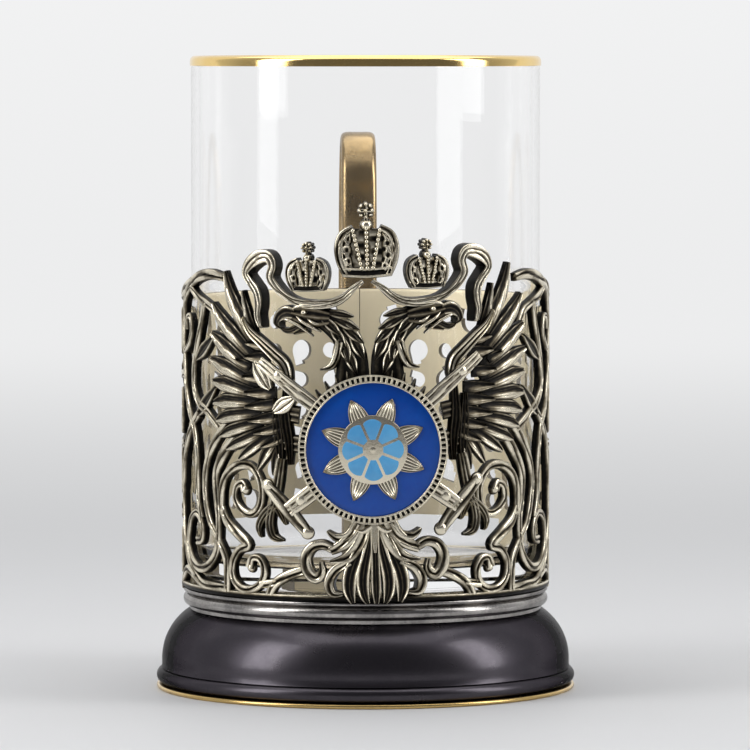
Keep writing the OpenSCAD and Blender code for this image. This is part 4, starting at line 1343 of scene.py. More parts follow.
def leaf_path(
    root: Sequence[float], tip: Sequence[float], root_w: float, middle_w: float, share: float = 0.5
) -> Path:
    """Path of a small leaf that swells between its root and its tip.

    Args:
        root: Chart place of its root.
        tip: Chart place and width of its tip.
        root_w: Width at its root.
        middle_w: Width where it is widest.
        share: Place of that, as a share of its length.

    Returns:
        The path.
    """
    middle = [(1 - share) * root[k] + share * tip[k] for k in (0, 1)]
    return [[root[0], root[1], root_w], [*middle, middle_w], tip]


@dataclass
class EagleCasting(Maker):
    """The two-headed eagle with its wings, sash and crowns.

    Attributes:
        line: Millimetres in a unit of stroke width.
    """

    line: float = 1.0

    def relief(self) -> Relief:
        """A new casting in the eagle's layer."""
        layout = self.layout
        return Relief(layout.chart, True, layout.eagle_r, layout.eagle_t, self.line, layout.band_in_r)

    def build(self) -> None:
        """Make the pieces of the eagle and hand them over."""
        self.build_body()
        for side, label in ((-1, "left"), (1, "right")):
            self.build_wing(side, label)
            self.build_sash(side, label)
        self.build_crown("large_crown", (0, 31.7), 10.6, 9.4)
        self.build_crown("left_crown", (-11.5, 29.4), 7.4, 6.0)
        self.build_crown("right_crown", (11.5, 29.4), 7.4, 6.0)

    def build_body(self) -> None:
        """Necks, heads, breast and tail."""
        relief = self.relief()
        for side in (-1, 1):
            relief.strokes([NECK], side, Carving.FLUTED, 0.6, across_points=17, deep=True, polish=0.3)
            relief.strokes([HEAD], side, Carving.FLUTED, 0.8, across_points=17, deep=True, polish=0.55)
            relief.strokes(BEAKS, side, Carving.HOLLOW, 0.92, deep=True)
            relief.strokes(HEAD_LINES, side, Carving.ROUND, 1.12)
            relief.strokes([BREAST_CURL], side, Carving.GROOVED, deep=True)
            plumes = [leaf_path(root, tip, 0.7 * root[2], 1.1 * root[2]) for root, tip in PLUMES]
            relief.strokes(plumes, side, Carving.HOLLOW, 1.0, 0.66, 1.1)
            relief.strokes(TAIL, side, Carving.GROOVED, 0.9, deep=True, widen=1.1)
            relief.strokes(FAN, side, Carving.HOLLOW, 0.96, 0.8, deep=True, across_points=17)
            relief.strokes(FLEUR, side, Carving.ROUND, 1.0)
            relief.strokes([TAIL_CURL], side, Carving.GROOVED, widen=1.1)
            relief.dome((side * 12.3, 25.6), 1.5, 1.25)
            for degrees in range(34, 79, 9):
                turn = math.radians(degrees)
                root = (11.0 * math.cos(turn), 11.0 * math.sin(turn), 2.0)
                tip = (15.4 * math.cos(turn + 0.06), 15.4 * math.sin(turn + 0.06), 0.3)
                relief.strokes([(root, tip)], side, Carving.FEATHER, 0.8, 0.6, polish=0.7)
        relief.stroke(TAIL_MIDDLE, Carving.HOLLOW, 1.0, deep=True, across_points=17)
        turns = np.linspace(0, 2 * math.pi, 48, endpoint=False)
        relief.plate([(13.2 * math.cos(a) / 0.993, 13.2 * math.sin(a)) for a in turns], 0.8, 0.3)
        relief.hand_over("eagle_body", self.finishes.carved)

    def build_wing(self, side: int, label: str) -> None:
        """One wing with its leg and talons.

        Args:
            side: -1 for the left or 1 for the right.
            label: Name of that side.
        """
        relief = self.relief()
        bladed = {"flip": -side, "across_points": 23, "polish": 0.98, "dim_root": 0.5, "widen": 1.2}
        relief.strokes(FEATHERS[:1], side, Carving.FEATHER, 0.8, 0.5, **bladed)
        relief.strokes(FEATHERS[1:], side, Carving.FEATHER, 0.86, 0.5, **bladed)
        relief.strokes(WING_ROOTS, side, Carving.FLUTED, 0.6, polish=0.6)
        coverts = [leaf_path(root, tip, root[2], root[2]) for root, tip in COVERTS]
        bladed = {"flip": -side, "across_points": 15, "polish": 0.68, "dim_root": 0.3}
        relief.strokes(coverts, side, Carving.FEATHER, 0.95, 0.7, **bladed)
        relief.strokes([WING_EDGE], side, Carving.FLUTED, 1.04, across_points=21, polish=1.1)
        relief.strokes(TROUSERS, side, Carving.FLUTED, 0.8, across_points=17, polish=0.35)
        if side < 0:
            relief.strokes(MUSCLES, side, Carving.RIBBON, 1.0, across_points=21, polish=1.2, widen=1.15)
        relief.strokes([LEG], side, Carving.FLUTED, 0.85, polish=0.8)
        relief.strokes(TALONS, side, Carving.FLUTED, 0.95, polish=0.75, widen=1.2)
        relief.hand_over(f"{label}_wing", self.finishes.carved)

    def build_sash(self, side: int, label: str) -> None:
        """One end of the sash.

        Args:
            side: -1 for the left or 1 for the right.
            label: Name of that side.
        """
        relief = self.relief()
        relief.strokes([SASH], side, Carving.RIBBON, across_points=15, deep=True)
        relief.hand_over(f"{label}_ribbon", self.finishes.carved)

    def build_crown(self, node: str, foot: tuple[float, float], width: float, height: float) -> None:
        """A crown with lobes, arches, band, orb and cross.

        Args:
            node: Node that it stands for.
            foot: Chart place of the middle of its foot.
            width: Width in squares.
            height: Height in squares.
        """
        relief = self.relief()
        half = width / 2

        def spots(rows: Path, side: int = 1) -> list[tuple[float, float, float]]:
            """Places in half widths out, heights up and widths in whole widths."""
            return [(foot[0] + side * o * half, foot[1] + u * height, w * width) for o, u, w in rows]

        cap = ((0.0, 0.1, 0.78), (0.0, 0.34, 0.96), (0.0, 0.6, 1.02), (0.0, 0.84, 0.86), (0.0, 0.97, 0.5))
        cap_polish = 0.8 if node == "large_crown" else 1.0
        relief.stroke(spots(cap), Carving.PITTED, 0.5, across_points=21, deep=True, polish=cap_polish)
        wall = ((0.76, 0.06, 0.12), (0.95, 0.34, 0.15), (1, 0.62, 0.16), (0.86, 0.86, 0.15), (0.5, 1, 0.11))
        lobe = ((0.58, 0.16, 0.14), (0.78, 0.42, 0.26), (0.78, 0.68, 0.27), (0.62, 0.9, 0.1))
        rib = ((0.2, 0.16, 0.07), (0.34, 0.58, 0.08), (0.48, 0.97, 0.06))
        for side in (-1, 1):
            relief.stroke(spots(wall, side), Carving.GROOVED, 0.88, deep=True, spacing=0.3)
            relief.stroke(spots(lobe, side), Carving.PITTED, 0.86, spacing=0.2, across_points=21, polish=0.95)
            relief.stroke(spots(rib, side), Carving.GROOVED, 0.94, spacing=0.3)
        spine = ((0.0, 0.14, 0.09), (0.0, 0.6, 0.1), (0.0, 1.04, 0.09))
        relief.stroke(spots(spine), Carving.HOLLOW, 1.0, spacing=0.3)
        bands = ((0.1, 0.13, 0.84, 0.2), (0.03, 0.06, 1.0, 1.0), (0.17, 0.06, 1.0, 1.0))
        for up, size, rise, polish in bands:
            band = ((-0.86, up + 0.03, size), (0.0, up, size), (0.86, up + 0.03, size))
            relief.stroke(spots(band), Carving.ROUND, rise, polish=polish, deep=polish < 1)
        orb = (foot[0], foot[1] + 1.04 * height)
        orb_w = 0.24 * width
        relief.dome(orb, orb_w, 1.0, deep=True)
        reach = 0.14 * width
        cross_z = orb[1] + 0.5 * orb_w + reach
        for ends in (((0.0, -1.3), (0.0, 1.0)), ((-1.0, 0.0), (1.0, 0.0))):
            arm = [(orb[0] + x * reach, cross_z + z * reach, 0.5 * reach) for x, z in ends]
            relief.stroke(arm, Carving.GROOVED, 0.8, spacing=0.3, deep=True)
        for k in range(8):
            turn = math.radians(45 * k)
            knob = (orb[0] + 0.8 * reach * math.cos(turn), cross_z + 0.8 * reach * math.sin(turn))
            relief.dome(knob, 0.62 * reach, 0.95, deep=True)
        relief.dome((orb[0], cross_z), 0.7 * reach, 1.05)
        relief.hand_over(node, self.finishes.carved)
        rows = [spots(((0.2, 0.2, 0), (0.34, 0.58, 0), (0.47, 0.94, 0)), side) for side in (-1, 1)]
        rows.append(spots(((0.0, 0.2, 0), (0.0, 0.6, 0), (0.0, 0.98, 0))))
        pearl = 0.078 * width * MM
        PearlRows(self.layout, self.finishes, rows, 0.96 * pearl, pearl).build(f"{node}_pearls")


class GeometryRecipe:
    """A Geometry Nodes tree with named inputs that ends in a plain mesh."""

    def __init__(self, name: str, **inputs: str) -> None:
        """Start the tree with a geometry input, its named inputs by their kinds, and the finish.

        Args:
            name: Name of the tree.
            **inputs: Kind of each named input.
        """
        self.tree = bpy.data.node_groups.new(name, "GeometryNodeTree")
        sockets = self.tree.interface
        sockets.new_socket("Geometry", in_out="INPUT", socket_type="NodeSocketGeometry")
        self.ids = {
            label: sockets.new_socket(label, in_out="INPUT", socket_type=f"NodeSocket{kind}").identifier
            for label, kind in {**inputs, "Finish": "Material"}.items()
        }
        sockets.new_socket("Geometry", in_out="OUTPUT", socket_type="NodeSocketGeometry")
        self.sheet = NodeSheet(self.tree)
        self.given = self.tree.nodes.new("NodeGroupInput")
        self.out = self.tree.nodes.new("NodeGroupOutput")

    def close(self, instances: Node) -> None:
        """Realize the instances, set their material and end the tree.

        Args:
            instances: Node that gives the instances.
        """
        real = self.sheet.add("GeometryNodeRealizeInstances", instances)
        finish = self.sheet.add("GeometryNodeSetMaterial", Geometry=real)
        self.sheet.feed(finish, "Material", self.given.outputs["Finish"])
        self.sheet.feed(self.out, 0, finish)

    def bake(self, name: str, start: ID, **values: object) -> Mesh:
        """Run the tree and give back a plain mesh.

        Args:
            name: Name of the object that holds the tree meanwhile.
            start: Mesh or curve that the tree starts from.
            **values: Value of each named input.

        Returns:
            The mesh that the tree makes.
        """
        holder = bpy.data.objects.new(name, start)
        bpy.context.scene.collection.objects.link(holder)
        modifier = holder.modifiers.new("recipe", "NODES")
        modifier.node_group = self.tree
        for label, value in values.items():
            modifier[self.ids[label]] = value
        graph = bpy.context.evaluated_depsgraph_get()
        mesh = bpy.data.meshes.new_from_object(holder.evaluated_get(graph))
        holder.modifiers.remove(modifier)
        bpy.data.objects.remove(holder)
        return mesh


@dataclass
class PearlRows(Maker):
    """Rows of small pearls that follow paths on the eagle's layer.

    Attributes:
        rows: Chart path of each row.
        pitch: Distance between two pearls.
        size: Diameter of a pearl.
    """

    rows: list[list[tuple[float, float, float]]]
    pitch: float
    size: float

    def build(self, name: str) -> None:
        """Make the pearls and hand them over.

        Args:
            name: Name of the piece.
        """
        recipe = GeometryRecipe("pearls_on_paths", Pitch="Float", Radius="Float")
        sheet, given = recipe.sheet, recipe.given.outputs
        resample = sheet.add("GeometryNodeResampleCurve", mode="LENGTH", Curve=given["Geometry"])
        sheet.feed(resample, "Length", given["Pitch"])
        pearl = sheet.add("GeometryNodeMeshUVSphere", Segments=10, Rings=6, Radius=given["Radius"])
        instances = sheet.add("GeometryNodeInstanceOnPoints", Points=resample, Instance=pearl)
        worn = sheet.add("GeometryNodeStoreNamedAttribute", data_type="FLOAT", domain="POINT")
        sheet.fill(worn, Geometry=instances, Name="crest", Value=1.0)
        recipe.close(worn)
        curve = bpy.data.curves.new(name, "CURVE")
        curve.dimensions = "3D"
        chart = self.layout.chart
        for row in self.rows:
            line = smooth_path(row, 0.5)
            place = line[:, :2] * (chart.arc_step, chart.rise_step)
            radius = np.full(len(place), self.layout.eagle_r + 0.92 * self.layout.eagle_t)
            points = chart.wrap(place, radius, True)
            spline = curve.splines.new("POLY")
            spline.points.add(len(points) - 1)
            for target, point in zip(spline.points, points):
                target.co = (*point, 1.0)
        mesh = recipe.bake(name, curve, Pitch=self.pitch, Radius=self.size / 2, Finish=self.finishes.carved)
        hand_over(finished(name, mesh, self.finishes.carved), Body.HOLDER, Slot.OPENWORK)


@dataclass
class Medallion(Maker):
    """Round medallion: cup with a milled rim, enamel field, rosette and crossed staffs behind it.

    Attributes:
        thickness: Depth of the cup.
        rim_w: Width of its rim.
        enamel_t: Thickness of the blue field.
        ridges: Number of ridges on the rim.
        rosette_r: Reach of the rosette's petals.
        petals: Number of its petals.
    """

    thickness: float = 1.9 * MM
    rim_w: float = 1.5 * MM
    enamel_t: float = 0.6 * MM
    ridges: int = 84
    rosette_r: float = 10.3 * MM
    petals: int = 8

    def place(self) -> Matrix:
        """Turn a flat drawing (right, up, out) to the medallion's face.

        Returns:
            The turn and the shift.
        """
        chart, depth = self.layout.chart, -self.layout.medal_y
        stand = Matrix(((1, 0, 0, 0), (0, 0, -1, depth), (0, 1, 0, chart.middle_z), (0, 0, 0, 1)))
        return stand @ Matrix.Rotation(chart.lean, 4, "Z")

    def build(self) -> None:
        """Make the pieces of the medallion and hand them over."""
        self.build_cup()
        self.build_saddle()
        self.build_ridges()
        self.build_enamel()
        self.build_rosette()
        self.build_staffs()

    def lathe(self, name: str, profile: Path, material: Material) -> Object:
        """Turn a profile about the medallion's own axis.

        Args:
            name: Name of the piece.
            profile: Radius and height of each point of its section.
            material: Its finish.

        Returns:
            The object.
        """
        piece = turned(name, profile, material, crease=40, turns=120)
        piece.data.transform(self.place())
        return piece

    def build_cup(self) -> None:
        """Cup with its two rim beads."""
        out_r, top = self.layout.medal_r, self.thickness
        field_r = out_r - self.rim_w
        bed = 0.62 * top
        profile = [(0, 0.0), (out_r - 0.1 * MM, 0.0), (out_r, 0.15 * MM), (out_r, 0.80 * top)]
        profile += arc((out_r - 0.16 * MM, 0.86 * top), 0.16 * MM, 0, 150, 6)
        profile += [(out_r - 0.34 * MM, bed), (field_r + 0.34 * MM, bed)]
        profile += arc((field_r + 0.18 * MM, top - 0.18 * MM), 0.18 * MM, 40, 180, 7)
        profile += [(field_r, 0.4 * top), (0, 0.4 * top)]
        cup = self.lathe("medallion_cup_dressed", profile, self.finishes.carved)
        back = self.place().inverted()
        store_crest(cup, lambda p: min(1.0, max(0.0, ((back @ p).z - bed) / (0.36 * top))))
        hand_over(cup, Body.HOLDER, Slot.OPENWORK, "medallion_cup")

    def build_saddle(self) -> None:
        """Saddle that fills the room between the flat cup and the round band."""
        saddle_r, depth = 0.93 * self.layout.medal_r, self.layout.medal_y
        turns = 64
        points, faces = [], []
        for k in range(turns):
            a = 2 * math.pi * k / turns
            x, y = saddle_r * math.cos(a), saddle_r * math.sin(a)
            points += [(x, y, math.sqrt(depth**2 - x * x) - depth), (x, y, 0.2 * MM)]
        for k in range(turns):
            n = (k + 1) % turns
            faces.append([2 * k, 2 * n, 2 * n + 1, 2 * k + 1])
        faces += [[2 * k for k in reversed(range(turns))], [2 * k + 1 for k in range(turns)]]
        mesh = made_mesh("medallion_saddle", points, faces)
        mesh.transform(self.place())
        saddle = finished("medallion_saddle", mesh, self.finishes.plate)
        hand_over(saddle, Body.HOLDER, Slot.OPENWORK)

    def build_ridges(self) -> None:
        """Milled ridges between the two beads of the rim."""
        recipe = GeometryRecipe("milled_ridges", Count="Int", Circle="Float", Length="Float", Radius="Float")
        sheet, given = recipe.sheet, recipe.given.outputs
        circle = sheet.add("GeometryNodeMeshCircle", Vertices=given["Count"], Radius=given["Circle"])
        ridge = sheet.add("GeometryNodeMeshCylinder", Vertices=10, Side_Segments=1, Radius=given["Radius"])
        sheet.feed(ridge, "Depth", given["Length"])
        aim = sheet.add("FunctionNodeAlignEulerToVector", axis="Z", pivot_axis="AUTO")
        sheet.feed(aim, "Vector", sheet.add("GeometryNodeInputPosition"))
        instances = sheet.add("GeometryNodeInstanceOnPoints", Points=circle, Instance=ridge, Rotation=aim)
        recipe.close(instances)
        ridge_r, low = 0.3 * MM, 0.66 * self.thickness
        mesh = recipe.bake(
            "milled_ridges",
            bpy.data.meshes.new("milled_ridges"),
            Count=self.ridges,
            Circle=self.layout.medal_r - self.rim_w / 2,
            Length=1.0 * MM,
            Radius=ridge_r,
            Finish=self.finishes.carved,
        )
        mesh.transform(Matrix.Translation((0, 0, low)))
        mesh.transform(self.place())
        piece = finished("milled_ridges", mesh, self.finishes.carved)
        back = self.place().inverted()
        store_crest(piece, lambda p: min(1.0, max(0.0, ((back @ p).z - low) / ridge_r)))
        hand_over(piece, Body.HOLDER, Slot.OPENWORK)

    def build_enamel(self) -> None:
        """Slightly domed blue field."""
        field_r = self.layout.medal_r - self.rim_w - 0.03 * MM
        low = 0.4 * self.thickness + 0.02 * MM
        top = low + self.enamel_t
        profile = [(0, low), (field_r, low), (field_r, top - 0.12 * MM)]
        shares = (0.985, 0.96, 0.9, 0.8, 0.6, 0.3)
        profile += [(field_r * s, top - 0.12 * MM + 0.14 * MM * (1 - s**6)) for s in shares]
        profile += [(0, top + 0.02 * MM)]
        field_piece = self.lathe("blue_enamel_dressed", profile, self.finishes.blue)
        hand_over(field_piece, Body.HOLDER, Slot.BLUE, "blue_enamel")

    def add_blob(self, parts: MeshParts, outline: Path, low: float, high: float, round_r: float) -> None:
        """Add a flat shape with a rounded top edge, stood on the medallion's face.

        Args:
            parts: Forms that it joins.
            outline: Points round it, each of which its middle sees.
            low: Height of its underside.
            high: Height of its top.
            round_r: Radius of its edge.
        """
        rim = np.array(outline, float)
        middle = rim.mean(axis=0)
        reach = np.linalg.norm(rim - middle, axis=1, keepdims=True)
        out = (rim - middle) / reach
        count = len(rim)
        rows, crest = [], []
        steps = [(0.0, low), (0.0, high - round_r)]
        turns = (0.5, 1.0, math.pi / 2)
        steps += [(round_r * (1 - math.cos(a)), high - round_r + round_r * math.sin(a)) for a in turns]
        for inset, level in steps:
            flat = middle + out * np.maximum(reach - inset, 0.02 * MM)
            rows.append(np.column_stack([flat, np.full(count, level)]))
            crest.append(np.full(count, max(0.0, (level - low) / (high - low))))
        rows.append(np.array([[middle[0], middle[1], high]]))
        crest.append(np.array([1.0]))
        faces = ring_faces(len(steps), count)
        base = (len(steps) - 1) * count
        faces += [[base + j, base + (j + 1) % count, len(steps) * count] for j in range(count)]
        faces.append(list(reversed(range(count))))
        turn = np.array(self.place())
        parts.add(np.concatenate(rows) @ turn[:3, :3].T + turn[:3, 3], faces, np.concatenate(crest))

    def cell_outline(self, turn: float, inset: float) -> list[tuple[float, float]]:
        """Outline of an enamel cell: a circle cut by a wedge and by the middle circle.

        Args:
            turn: Angle of the cell's middle.
            inset: Distance that the outline is drawn in.

        Returns:
            Points of the outline.
        """
        radius = self.rosette_r
        wedge = math.pi / self.petals
        middle = 0.37 * radius
        outline = []
        for a in np.linspace(0, 2 * math.pi, 48, False):
            reach = 0.0
            while True:
                x, y = middle + reach * math.cos(a), reach * math.sin(a)
                inside = math.hypot(x - 0.34 * radius, y) < 0.24 * radius - inset
                inside = inside and abs(y) < (x - inset / math.sin(wedge)) * math.tan(wedge)
                if not inside or math.hypot(x, y) < 0.16 * radius + inset:
                    break
                reach += 0.01 * MM
            outline.append((x * math.cos(turn) - y * math.sin(turn), x * math.sin(turn) + y * math.cos(turn)))
        return outline

    def build_rosette(self) -> None:
        """Rosette with ribbed pointed petals round pale enamel cells."""
        low = 0.4 * self.thickness + self.enamel_t
        high = self.thickness
        size = self.rosette_r / MM
        step = 2 * math.pi / self.petals
        relief = Relief(FlatChart(self.place()), True, low, high - low, 1.0)
        for k in range(self.petals):
            turn = (k + 0.5) * step
            petal = []
            for x in (0.3, 0.4, 0.5, 0.6, 0.7, 0.8, 0.9, 0.96, 0.985):
                span = 2 * (math.sqrt(0.36 - (x - 0.56) ** 2) - 0.42) * size
                petal.append((x * size * math.cos(turn), x * size * math.sin(turn), span))
            relief.stroke(petal, Carving.RIBBED, 0.8, 0.9, spacing=0.6, across_points=37, polish=1.7)
        ring_r = 0.61 * size
        ring = [(ring_r * math.cos(a), ring_r * math.sin(a), 0.34) for a in np.linspace(0, 2 * math.pi, 49)]
        relief.stroke(ring, Carving.ROUND, 1.0, spacing=0.8)
        relief.dome((0, 0), 0.26 * size, 1.0)
        disc_r = 0.62 * size * MM
        disc = [(disc_r * math.cos(a), disc_r * math.sin(a)) for a in np.linspace(0, 2 * math.pi, 96, False)]
        self.add_blob(relief.mesh, disc, low, high - 0.05 * MM, 0.05 * MM)
        cells = MeshParts()
        for k in range(self.petals):
            outline = self.cell_outline(k * step, 0.25 * MM)
            self.add_blob(cells, outline, high - 0.15 * MM, high + 0.03 * MM, 0.1 * MM)
        relief.hand_over("rosette", self.finishes.carved)
        enamel = cells.to_object("rosette_enamel_dressed", self.finishes.pale)
        hand_over(enamel, Body.HOLDER, Slot.PALE, "rosette_enamel")

    def build_staffs(self) -> None:
        """Staffs that cross behind the medallion."""
        relief = Relief(self.layout.chart, True, self.layout.staff_r, self.layout.staff_t, 1.0)
        shaft = ((-21, 16.6, 1.5), (-15.4, 12.2, 1.8), (0, 0, 2), (11.2, -7.8, 2.2), (15.9, -11.2, 2))
        head = ((20.2, -6.6, 1.8), (15.9, -11.2, 2.4), (12.4, -15.4, 1.8))
        knobs = ((-17.4, 13.8, 2.8), (13.4, -9.3, 3.0), (20.2, -6.6, 2.6), (12.4, -15.4, 2.6))
        for side in (-1, 1):
            relief.strokes([shaft], side, Carving.RIBBON, 0.95, widen=1.4, polish=1.15)
            relief.strokes([head], side, Carving.GROOVED, 0.95, widen=1.15)
            for out, up, size in knobs:
                relief.dome((side * out, up), size, 1.0, 2.6)
        relief.hand_over("crossed_staffs", self.finishes.carved)


CURLS: tuple[Path, ...] = (
    ((33.6, -13.5, 1.1), (33.7, -9.6, 1.1), (32.9, -6.8, 1.1), (31, -4.9, 1.1), (28.2, -3.8, 1.1),
     (25.4, -4.1, 1), (23.4, -6.1, 1), (22.7, -8.8, 1), (23.4, -11.5, 0.95), (25.5, -12.9, 0.95),
     (27.9, -12.2, 0.9), (29.6, -10.2, 0.9), (29.3, -7.9, 0.9), (27.7, -7.3, 1.1), (27, -8.6, 1.3)),
    ((33.6, -12, 1), (32, -14.6, 1.3), (29.2, -16.6, 1.3), (26.2, -18.8, 1.2), (28.6, -19.8, 1),
     (30.4, -22.2, 1), (30.2, -25, 1), (28.2, -26.9, 1), (25.4, -27.1, 1), (23, -25.8, 1),
     (22.2, -23.4, 1), (23.3, -21.3, 0.9), (25.2, -21.2, 0.9), (25.9, -23, 1.2)),
)  # fmt: skip
VINES: tuple[Path, ...] = (
    ((33, 31.2, 0.9), (37, 31.7, 1.2), (41, 31.4, 1.3), (45, 30.3, 1.3), (49.5, 28.2, 1.3),
     (52.2, 25, 1.2), (52.6, 20.6, 1.1), (51.8, 15.4, 1.1), (50.4, 10.2, 1.1), (48, 5.8, 1.1),
     (44.8, 2.6, 1.1), (43.2, -2, 1.1), (42.8, -7.6, 1.1), (42.4, -11.4, 1), (41, -14.6, 0.9)),
    ((45, 30.3, 1.2), (50.6, 28.9, 1.2), (56, 27.4, 1.2), (65.8, 26.2, 1.2)),
    ((46.6, 28.9, 0.8), (42.6, 27.2, 0.9), (39.2, 26.2, 0.9), (36, 24.8, 0.9), (34, 22.4, 0.7)),
    ((51.8, 16.6, 0.8), (48.6, 17.8, 0.8), (46.2, 20.4, 0.8), (47, 23.2, 0.8), (49.4, 23, 0.7),
     (49.6, 20.8, 0.6)),
    ((39.8, 26.4, 0.8), (41.4, 22, 0.9), (43.2, 18, 1), (44.8, 13.6, 1.1), (44.6, 9.8, 1.1),
     (42.2, 7.2, 1.1), (39, 5.8, 1), (36.4, 4.2, 1), (33.4, 2.6, 0.9)),
    ((30.2, 5, 0.9), (33.6, 2.4, 1.2), (37.6, -1.8, 1.2), (39.6, -6.4, 1.1), (39.2, -11, 1.1),
     (37.6, -15, 1), (35.2, -17.6, 0.9)),
    ((28.4, 2.4, 1), (32.2, -1, 1.4), (35.4, -5.4, 1.3), (35.4, -10, 1.1), (34.6, -15, 1),
     (35.4, -20.4, 1.1), (38.6, -23.5, 1.1), (42.6, -24.1, 1.1), (46.4, -22.4, 1), (48.2, -19, 1),
     (46.8, -15.2, 0.9), (43.4, -13.8, 0.9), (40.8, -15.8, 0.9), (41, -18.6, 0.9), (43.4, -19, 1.1)),
    ((42.4, 5.2, 1.1), (46.4, 2.4, 1.1), (50.2, -1.4, 1.1), (52.8, -6.6, 1.1), (53.4, -12.6, 1.1),
     (51.6, -18.6, 1.1), (47.6, -23.6, 1.1), (42, -26.7, 1.1), (37, -27.2, 1.1), (32, -27.4, 1)),
    ((34.8, -18.2, 0.9), (32.4, -21.6, 1.1), (32, -25, 1.1), (32, -27.9, 1.2)),
    ((12.8, -22.8, 1.1), (16.2, -23.8, 1.2), (19.4, -25.4, 1.2), (20.8, -27.2, 1.1), (21, -27.9, 1.1)),
    ((19.4, -25.4, 0.9), (21.4, -25.8, 1), (23.2, -26, 0.9)),
    ((65.2, -27.9, 1.1), (65.6, -14.3, 1.1), (64.8, -0.9, 1.1), (65.6, 12.5, 1.1), (65, 27, 1.1)),
    ((53.2, -14.4, 0.9), (58.6, -14.9, 1.1), (65.4, -13.6, 0.9)),
    ((52.4, -1, 0.9), (58.6, -1.5, 1.1), (65.2, -0.2, 0.9)),
    ((51.2, 12.4, 0.9), (58.6, 11.9, 1.1), (65.4, 13.2, 0.9)),
    ((44, -26, 0.9), (50, -25, 1), (57, -28.6, 1)),
)  # fmt: skip
PANEL_LEAVES: tuple[Path, ...] = (
    ((43.4, 15.4, 1.6), (35.8, 20.4, 0.3)), ((43.2, 4.6, 1.7), (35.2, 10.8, 0.3)),
)  # fmt: skip


@dataclass
class Openwork(Maker):
    """Scroll panels beside the eagle and the pierced panels at the back.

    Attributes:
        stem: Millimetres in a unit of stroke width.
        rows: Squares up of the middles of the edge scrolls.
        column: Squares sideways of them.
        reach: Radius at which an edge scroll starts, in squares.
        eye: Radius at which it ends.
        turns: Turns that it makes.
    """

    stem: float = 1.7
    rows: tuple[float, ...] = (-21.0, -7.6, 5.8, 19.2)
    column: float = 59.2
    reach: float = 6.4
    eye: float = 1.3
    turns: float = 1.35

    def build(self) -> None:
        """Make the panels and hand them over."""
        for side, label in ((-1, "left"), (1, "right")):
            self.build_panel(side, label)
            dress_node(f"{label}_rear_panel", self.finishes.plate)

    def build_panel(self, side: int, label: str) -> None:
        """One scroll panel.

        Args:
            side: -1 for the left or 1 for the right.
            label: Name of that side.
        """
        thickness = self.layout.panel_r - self.layout.band_in_r
        relief = Relief(self.layout.chart, False, self.layout.band_in_r, thickness, self.stem)
        relief.strokes(CURLS + VINES, side, Carving.GROOVED)
        leaves = [leaf_path(root, tip, 0.4, root[2], 0.4) for root, tip in PANEL_LEAVES]
        relief.strokes(leaves, side, Carving.HOLLOW)
        relief.dome((side * 27.2, -8.4), 2.3)
        relief.dome((side * 25.7, -23.0), 2.1)
        for k, row in enumerate(self.rows):
            flip = -1 if k % 2 else 1
            path = []
            for share in np.linspace(0, 1, 22):
                reach = self.reach + (self.eye - self.reach) * share
                turn = side * flip * math.radians(90 + 360 * self.turns * share)
                out, up = reach * math.cos(turn) * 1.06, side * reach * math.sin(turn)
                path.append((side * self.column + out, row + up, 1.3 - 0.25 * share))
            relief.stroke(path, Carving.GROOVED)
            relief.dome((side * self.column, row), 2.1 * self.stem)
        relief.hand_over(f"{label}_scroll_panel", self.finishes.carved)


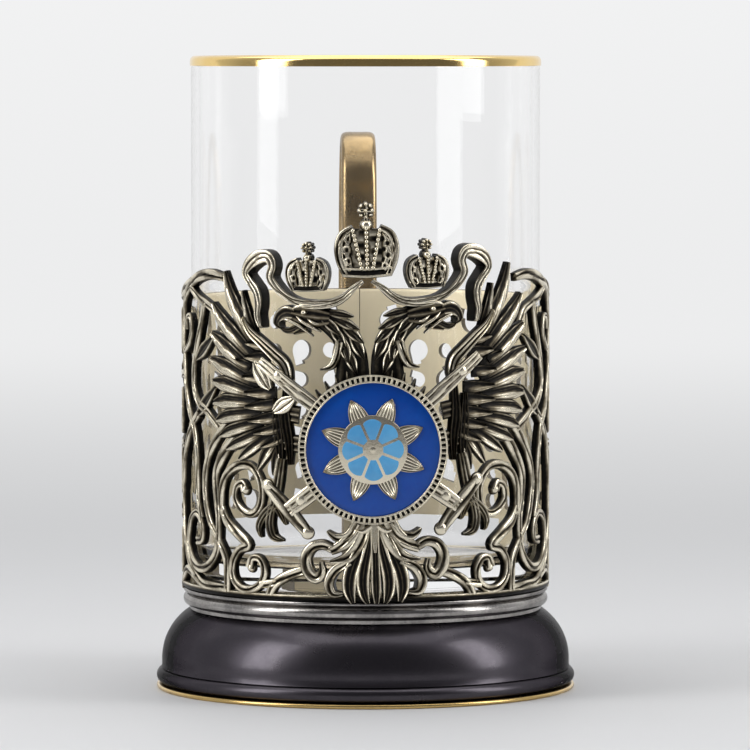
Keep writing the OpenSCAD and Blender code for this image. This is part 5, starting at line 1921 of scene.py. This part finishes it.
@dataclass
class Studio:
    """Pale floor, soft lamps and the camera of the photograph."""

    distance: float = 1.1
    camera_z: float = 0.125
    azimuth: float = math.radians(2.0)
    pitch: float = math.radians(3.39)
    lens: float = 275.6
    shift: float = 0.0127
    paper: Colour = (0.68, 0.683, 0.69, 1)
    paper_light: Colour = (0.70, 0.703, 0.71, 1)
    # Colours of the painted glow of the backdrop away from the object: near, far and high up the wall.
    painted_glow_near: Colour = (0.59, 0.595, 0.605, 1)
    painted_glow_far: Colour = (0.84, 0.843, 0.848, 1)
    painted_glow_high: Colour = (0.89, 0.893, 0.897, 1)
    room_front: Colour = (0.16, 0.16, 0.17, 1)
    room_back: Colour = (0.8, 0.81, 0.83, 1)

    def build(self) -> None:
        """Make the set."""
        self.build_backdrop()
        self.build_world()
        self.lamp("left_softbox", (-0.75, -0.35, 0.45), (0, 0, 0.06), (0.35, 0.8), 4.2)
        self.lamp("right_softbox", (0.8, -0.25, 0.45), (0, 0, 0.06), (0.3, 0.8), 3.3)
        self.lamp("top_softbox", (0.0, 0.1, 1.0), (0, 0, 0.03), (1.2, 1.2), 6.5)
        camera = bpy.data.cameras.new("camera")
        camera.lens = self.lens
        camera.shift_x = self.shift
        camera.clip_end = 20
        holder = bpy.data.objects.new("camera", camera)
        back, turn = -self.distance, self.azimuth
        holder.location = (back * math.sin(turn), back * math.cos(turn), self.camera_z)
        holder.rotation_euler = (math.pi / 2 - self.pitch, 0, -self.azimuth)
        bpy.context.scene.collection.objects.link(holder)
        bpy.context.scene.camera = holder
        bpy.context.scene.view_settings.view_transform = "Standard"

    def build_backdrop(self) -> None:
        """Floor that curves up to a wall behind the object, with a painted glow away from the object."""
        turns = np.linspace(0.1, math.pi / 2, 14)
        profile = [(-3.0, 0.0), (1.2, 0.0)]
        profile += [(1.2 + 0.9 * math.sin(a), 0.9 - 0.9 * math.cos(a)) for a in turns]
        profile += [(2.1, 4.0)]
        points = [(x, y, z) for y, z in profile for x in (-4.0, 4.0)]
        faces = [[2 * k, 2 * k + 1, 2 * k + 3, 2 * k + 2] for k in range(len(profile) - 1)]
        mesh = made_mesh("backdrop", points, faces)
        mesh.shade_smooth()
        material, sheet, shader = new_finish("pale_paper")
        paper = sheet.mix(sheet.noise(3.0), self.paper, self.paper_light)
        sheet.fill(shader, Base_Color=paper, Roughness=0.6)
        place = sheet.add("ShaderNodeTexCoord").outputs["Object"]
        parts = sheet.add("ShaderNodeSeparateXYZ", place).outputs
        depth, rise = sheet.ramp(parts["Y"], 0.15, 1.3), sheet.ramp(parts["Z"], -0.02, 0.2)
        # Painted glow: away from the object the backdrop shines with its own colour, darker near and brighter
        # far and up the wall, in place of lamp light on the paper; only camera, glossy and transmission rays
        # see it.
        glow = sheet.mix(rise, sheet.mix(depth, self.painted_glow_near, self.painted_glow_far), self.painted_glow_high)
        light = sheet.add("ShaderNodeEmission", Strength=1.0, Color=glow)
        path = sheet.add("ShaderNodeLightPath").outputs
        seen = sheet.math("MAXIMUM", path["Is Camera Ray"], path["Is Transmission Ray"])
        seen = sheet.math("MAXIMUM", seen, path["Is Glossy Ray"])
        share = sheet.math("MULTIPLY", sheet.ramp(parts["Y"], 0.08, 0.5), seen)
        blend = sheet.add("ShaderNodeMixShader", share, shader, light)
        sheet.feed(material.node_tree.nodes["Material Output"], "Surface", blend)
        mesh.materials.append(material)
        floor = bpy.data.objects.new("backdrop", mesh)
        bpy.context.scene.collection.objects.link(floor)

    def build_world(self) -> None:
        """Room that is pale behind the object and dim behind the camera."""
        world = bpy.data.worlds.new("studio")
        world.use_nodes = True
        sheet = NodeSheet(world.node_tree)
        place = sheet.add("ShaderNodeTexCoord").outputs["Generated"]
        parts = sheet.add("ShaderNodeSeparateXYZ", place)
        colour = sheet.mix(sheet.ramp(parts.outputs["Y"], -0.5, 0.6), self.room_front, self.room_back)
        sheet.fill(world.node_tree.nodes["Background"], Color=colour, Strength=0.8)
        bpy.context.scene.world = world

    @staticmethod
    def lamp(
        name: str, place: Sequence[float], aim: Sequence[float], size: tuple[float, float], power: float
    ) -> None:
        """Add a softbox.

        Args:
            name: Name of the lamp.
            place: Where it stands.
            aim: Point that it faces.
            size: Width and height.
            power: Power in watts.
        """
        light = bpy.data.lights.new(name, "AREA")
        light.shape = "RECTANGLE"
        light.size, light.size_y = size
        light.energy = power
        holder = bpy.data.objects.new(name, light)
        holder.location = place
        holder.rotation_euler = (Vector(aim) - Vector(place)).to_track_quat("-Z", "Y").to_euler()
        bpy.context.scene.collection.objects.link(holder)


def main() -> None:
    logging.basicConfig(level=logging.INFO, format="%(name)s %(message)s")
    layout = Layout.from_frame()
    finishes = Finishes()
    SpunBase(layout, finishes).build()
    TeaGlass(layout, finishes).build()
    StrapHandle(layout, finishes).build()
    EagleCasting(layout, finishes).build()
    Medallion(layout, finishes).build()
    Openwork(layout, finishes).build()
    Studio().build()


if __name__ == "__main__":
    main()
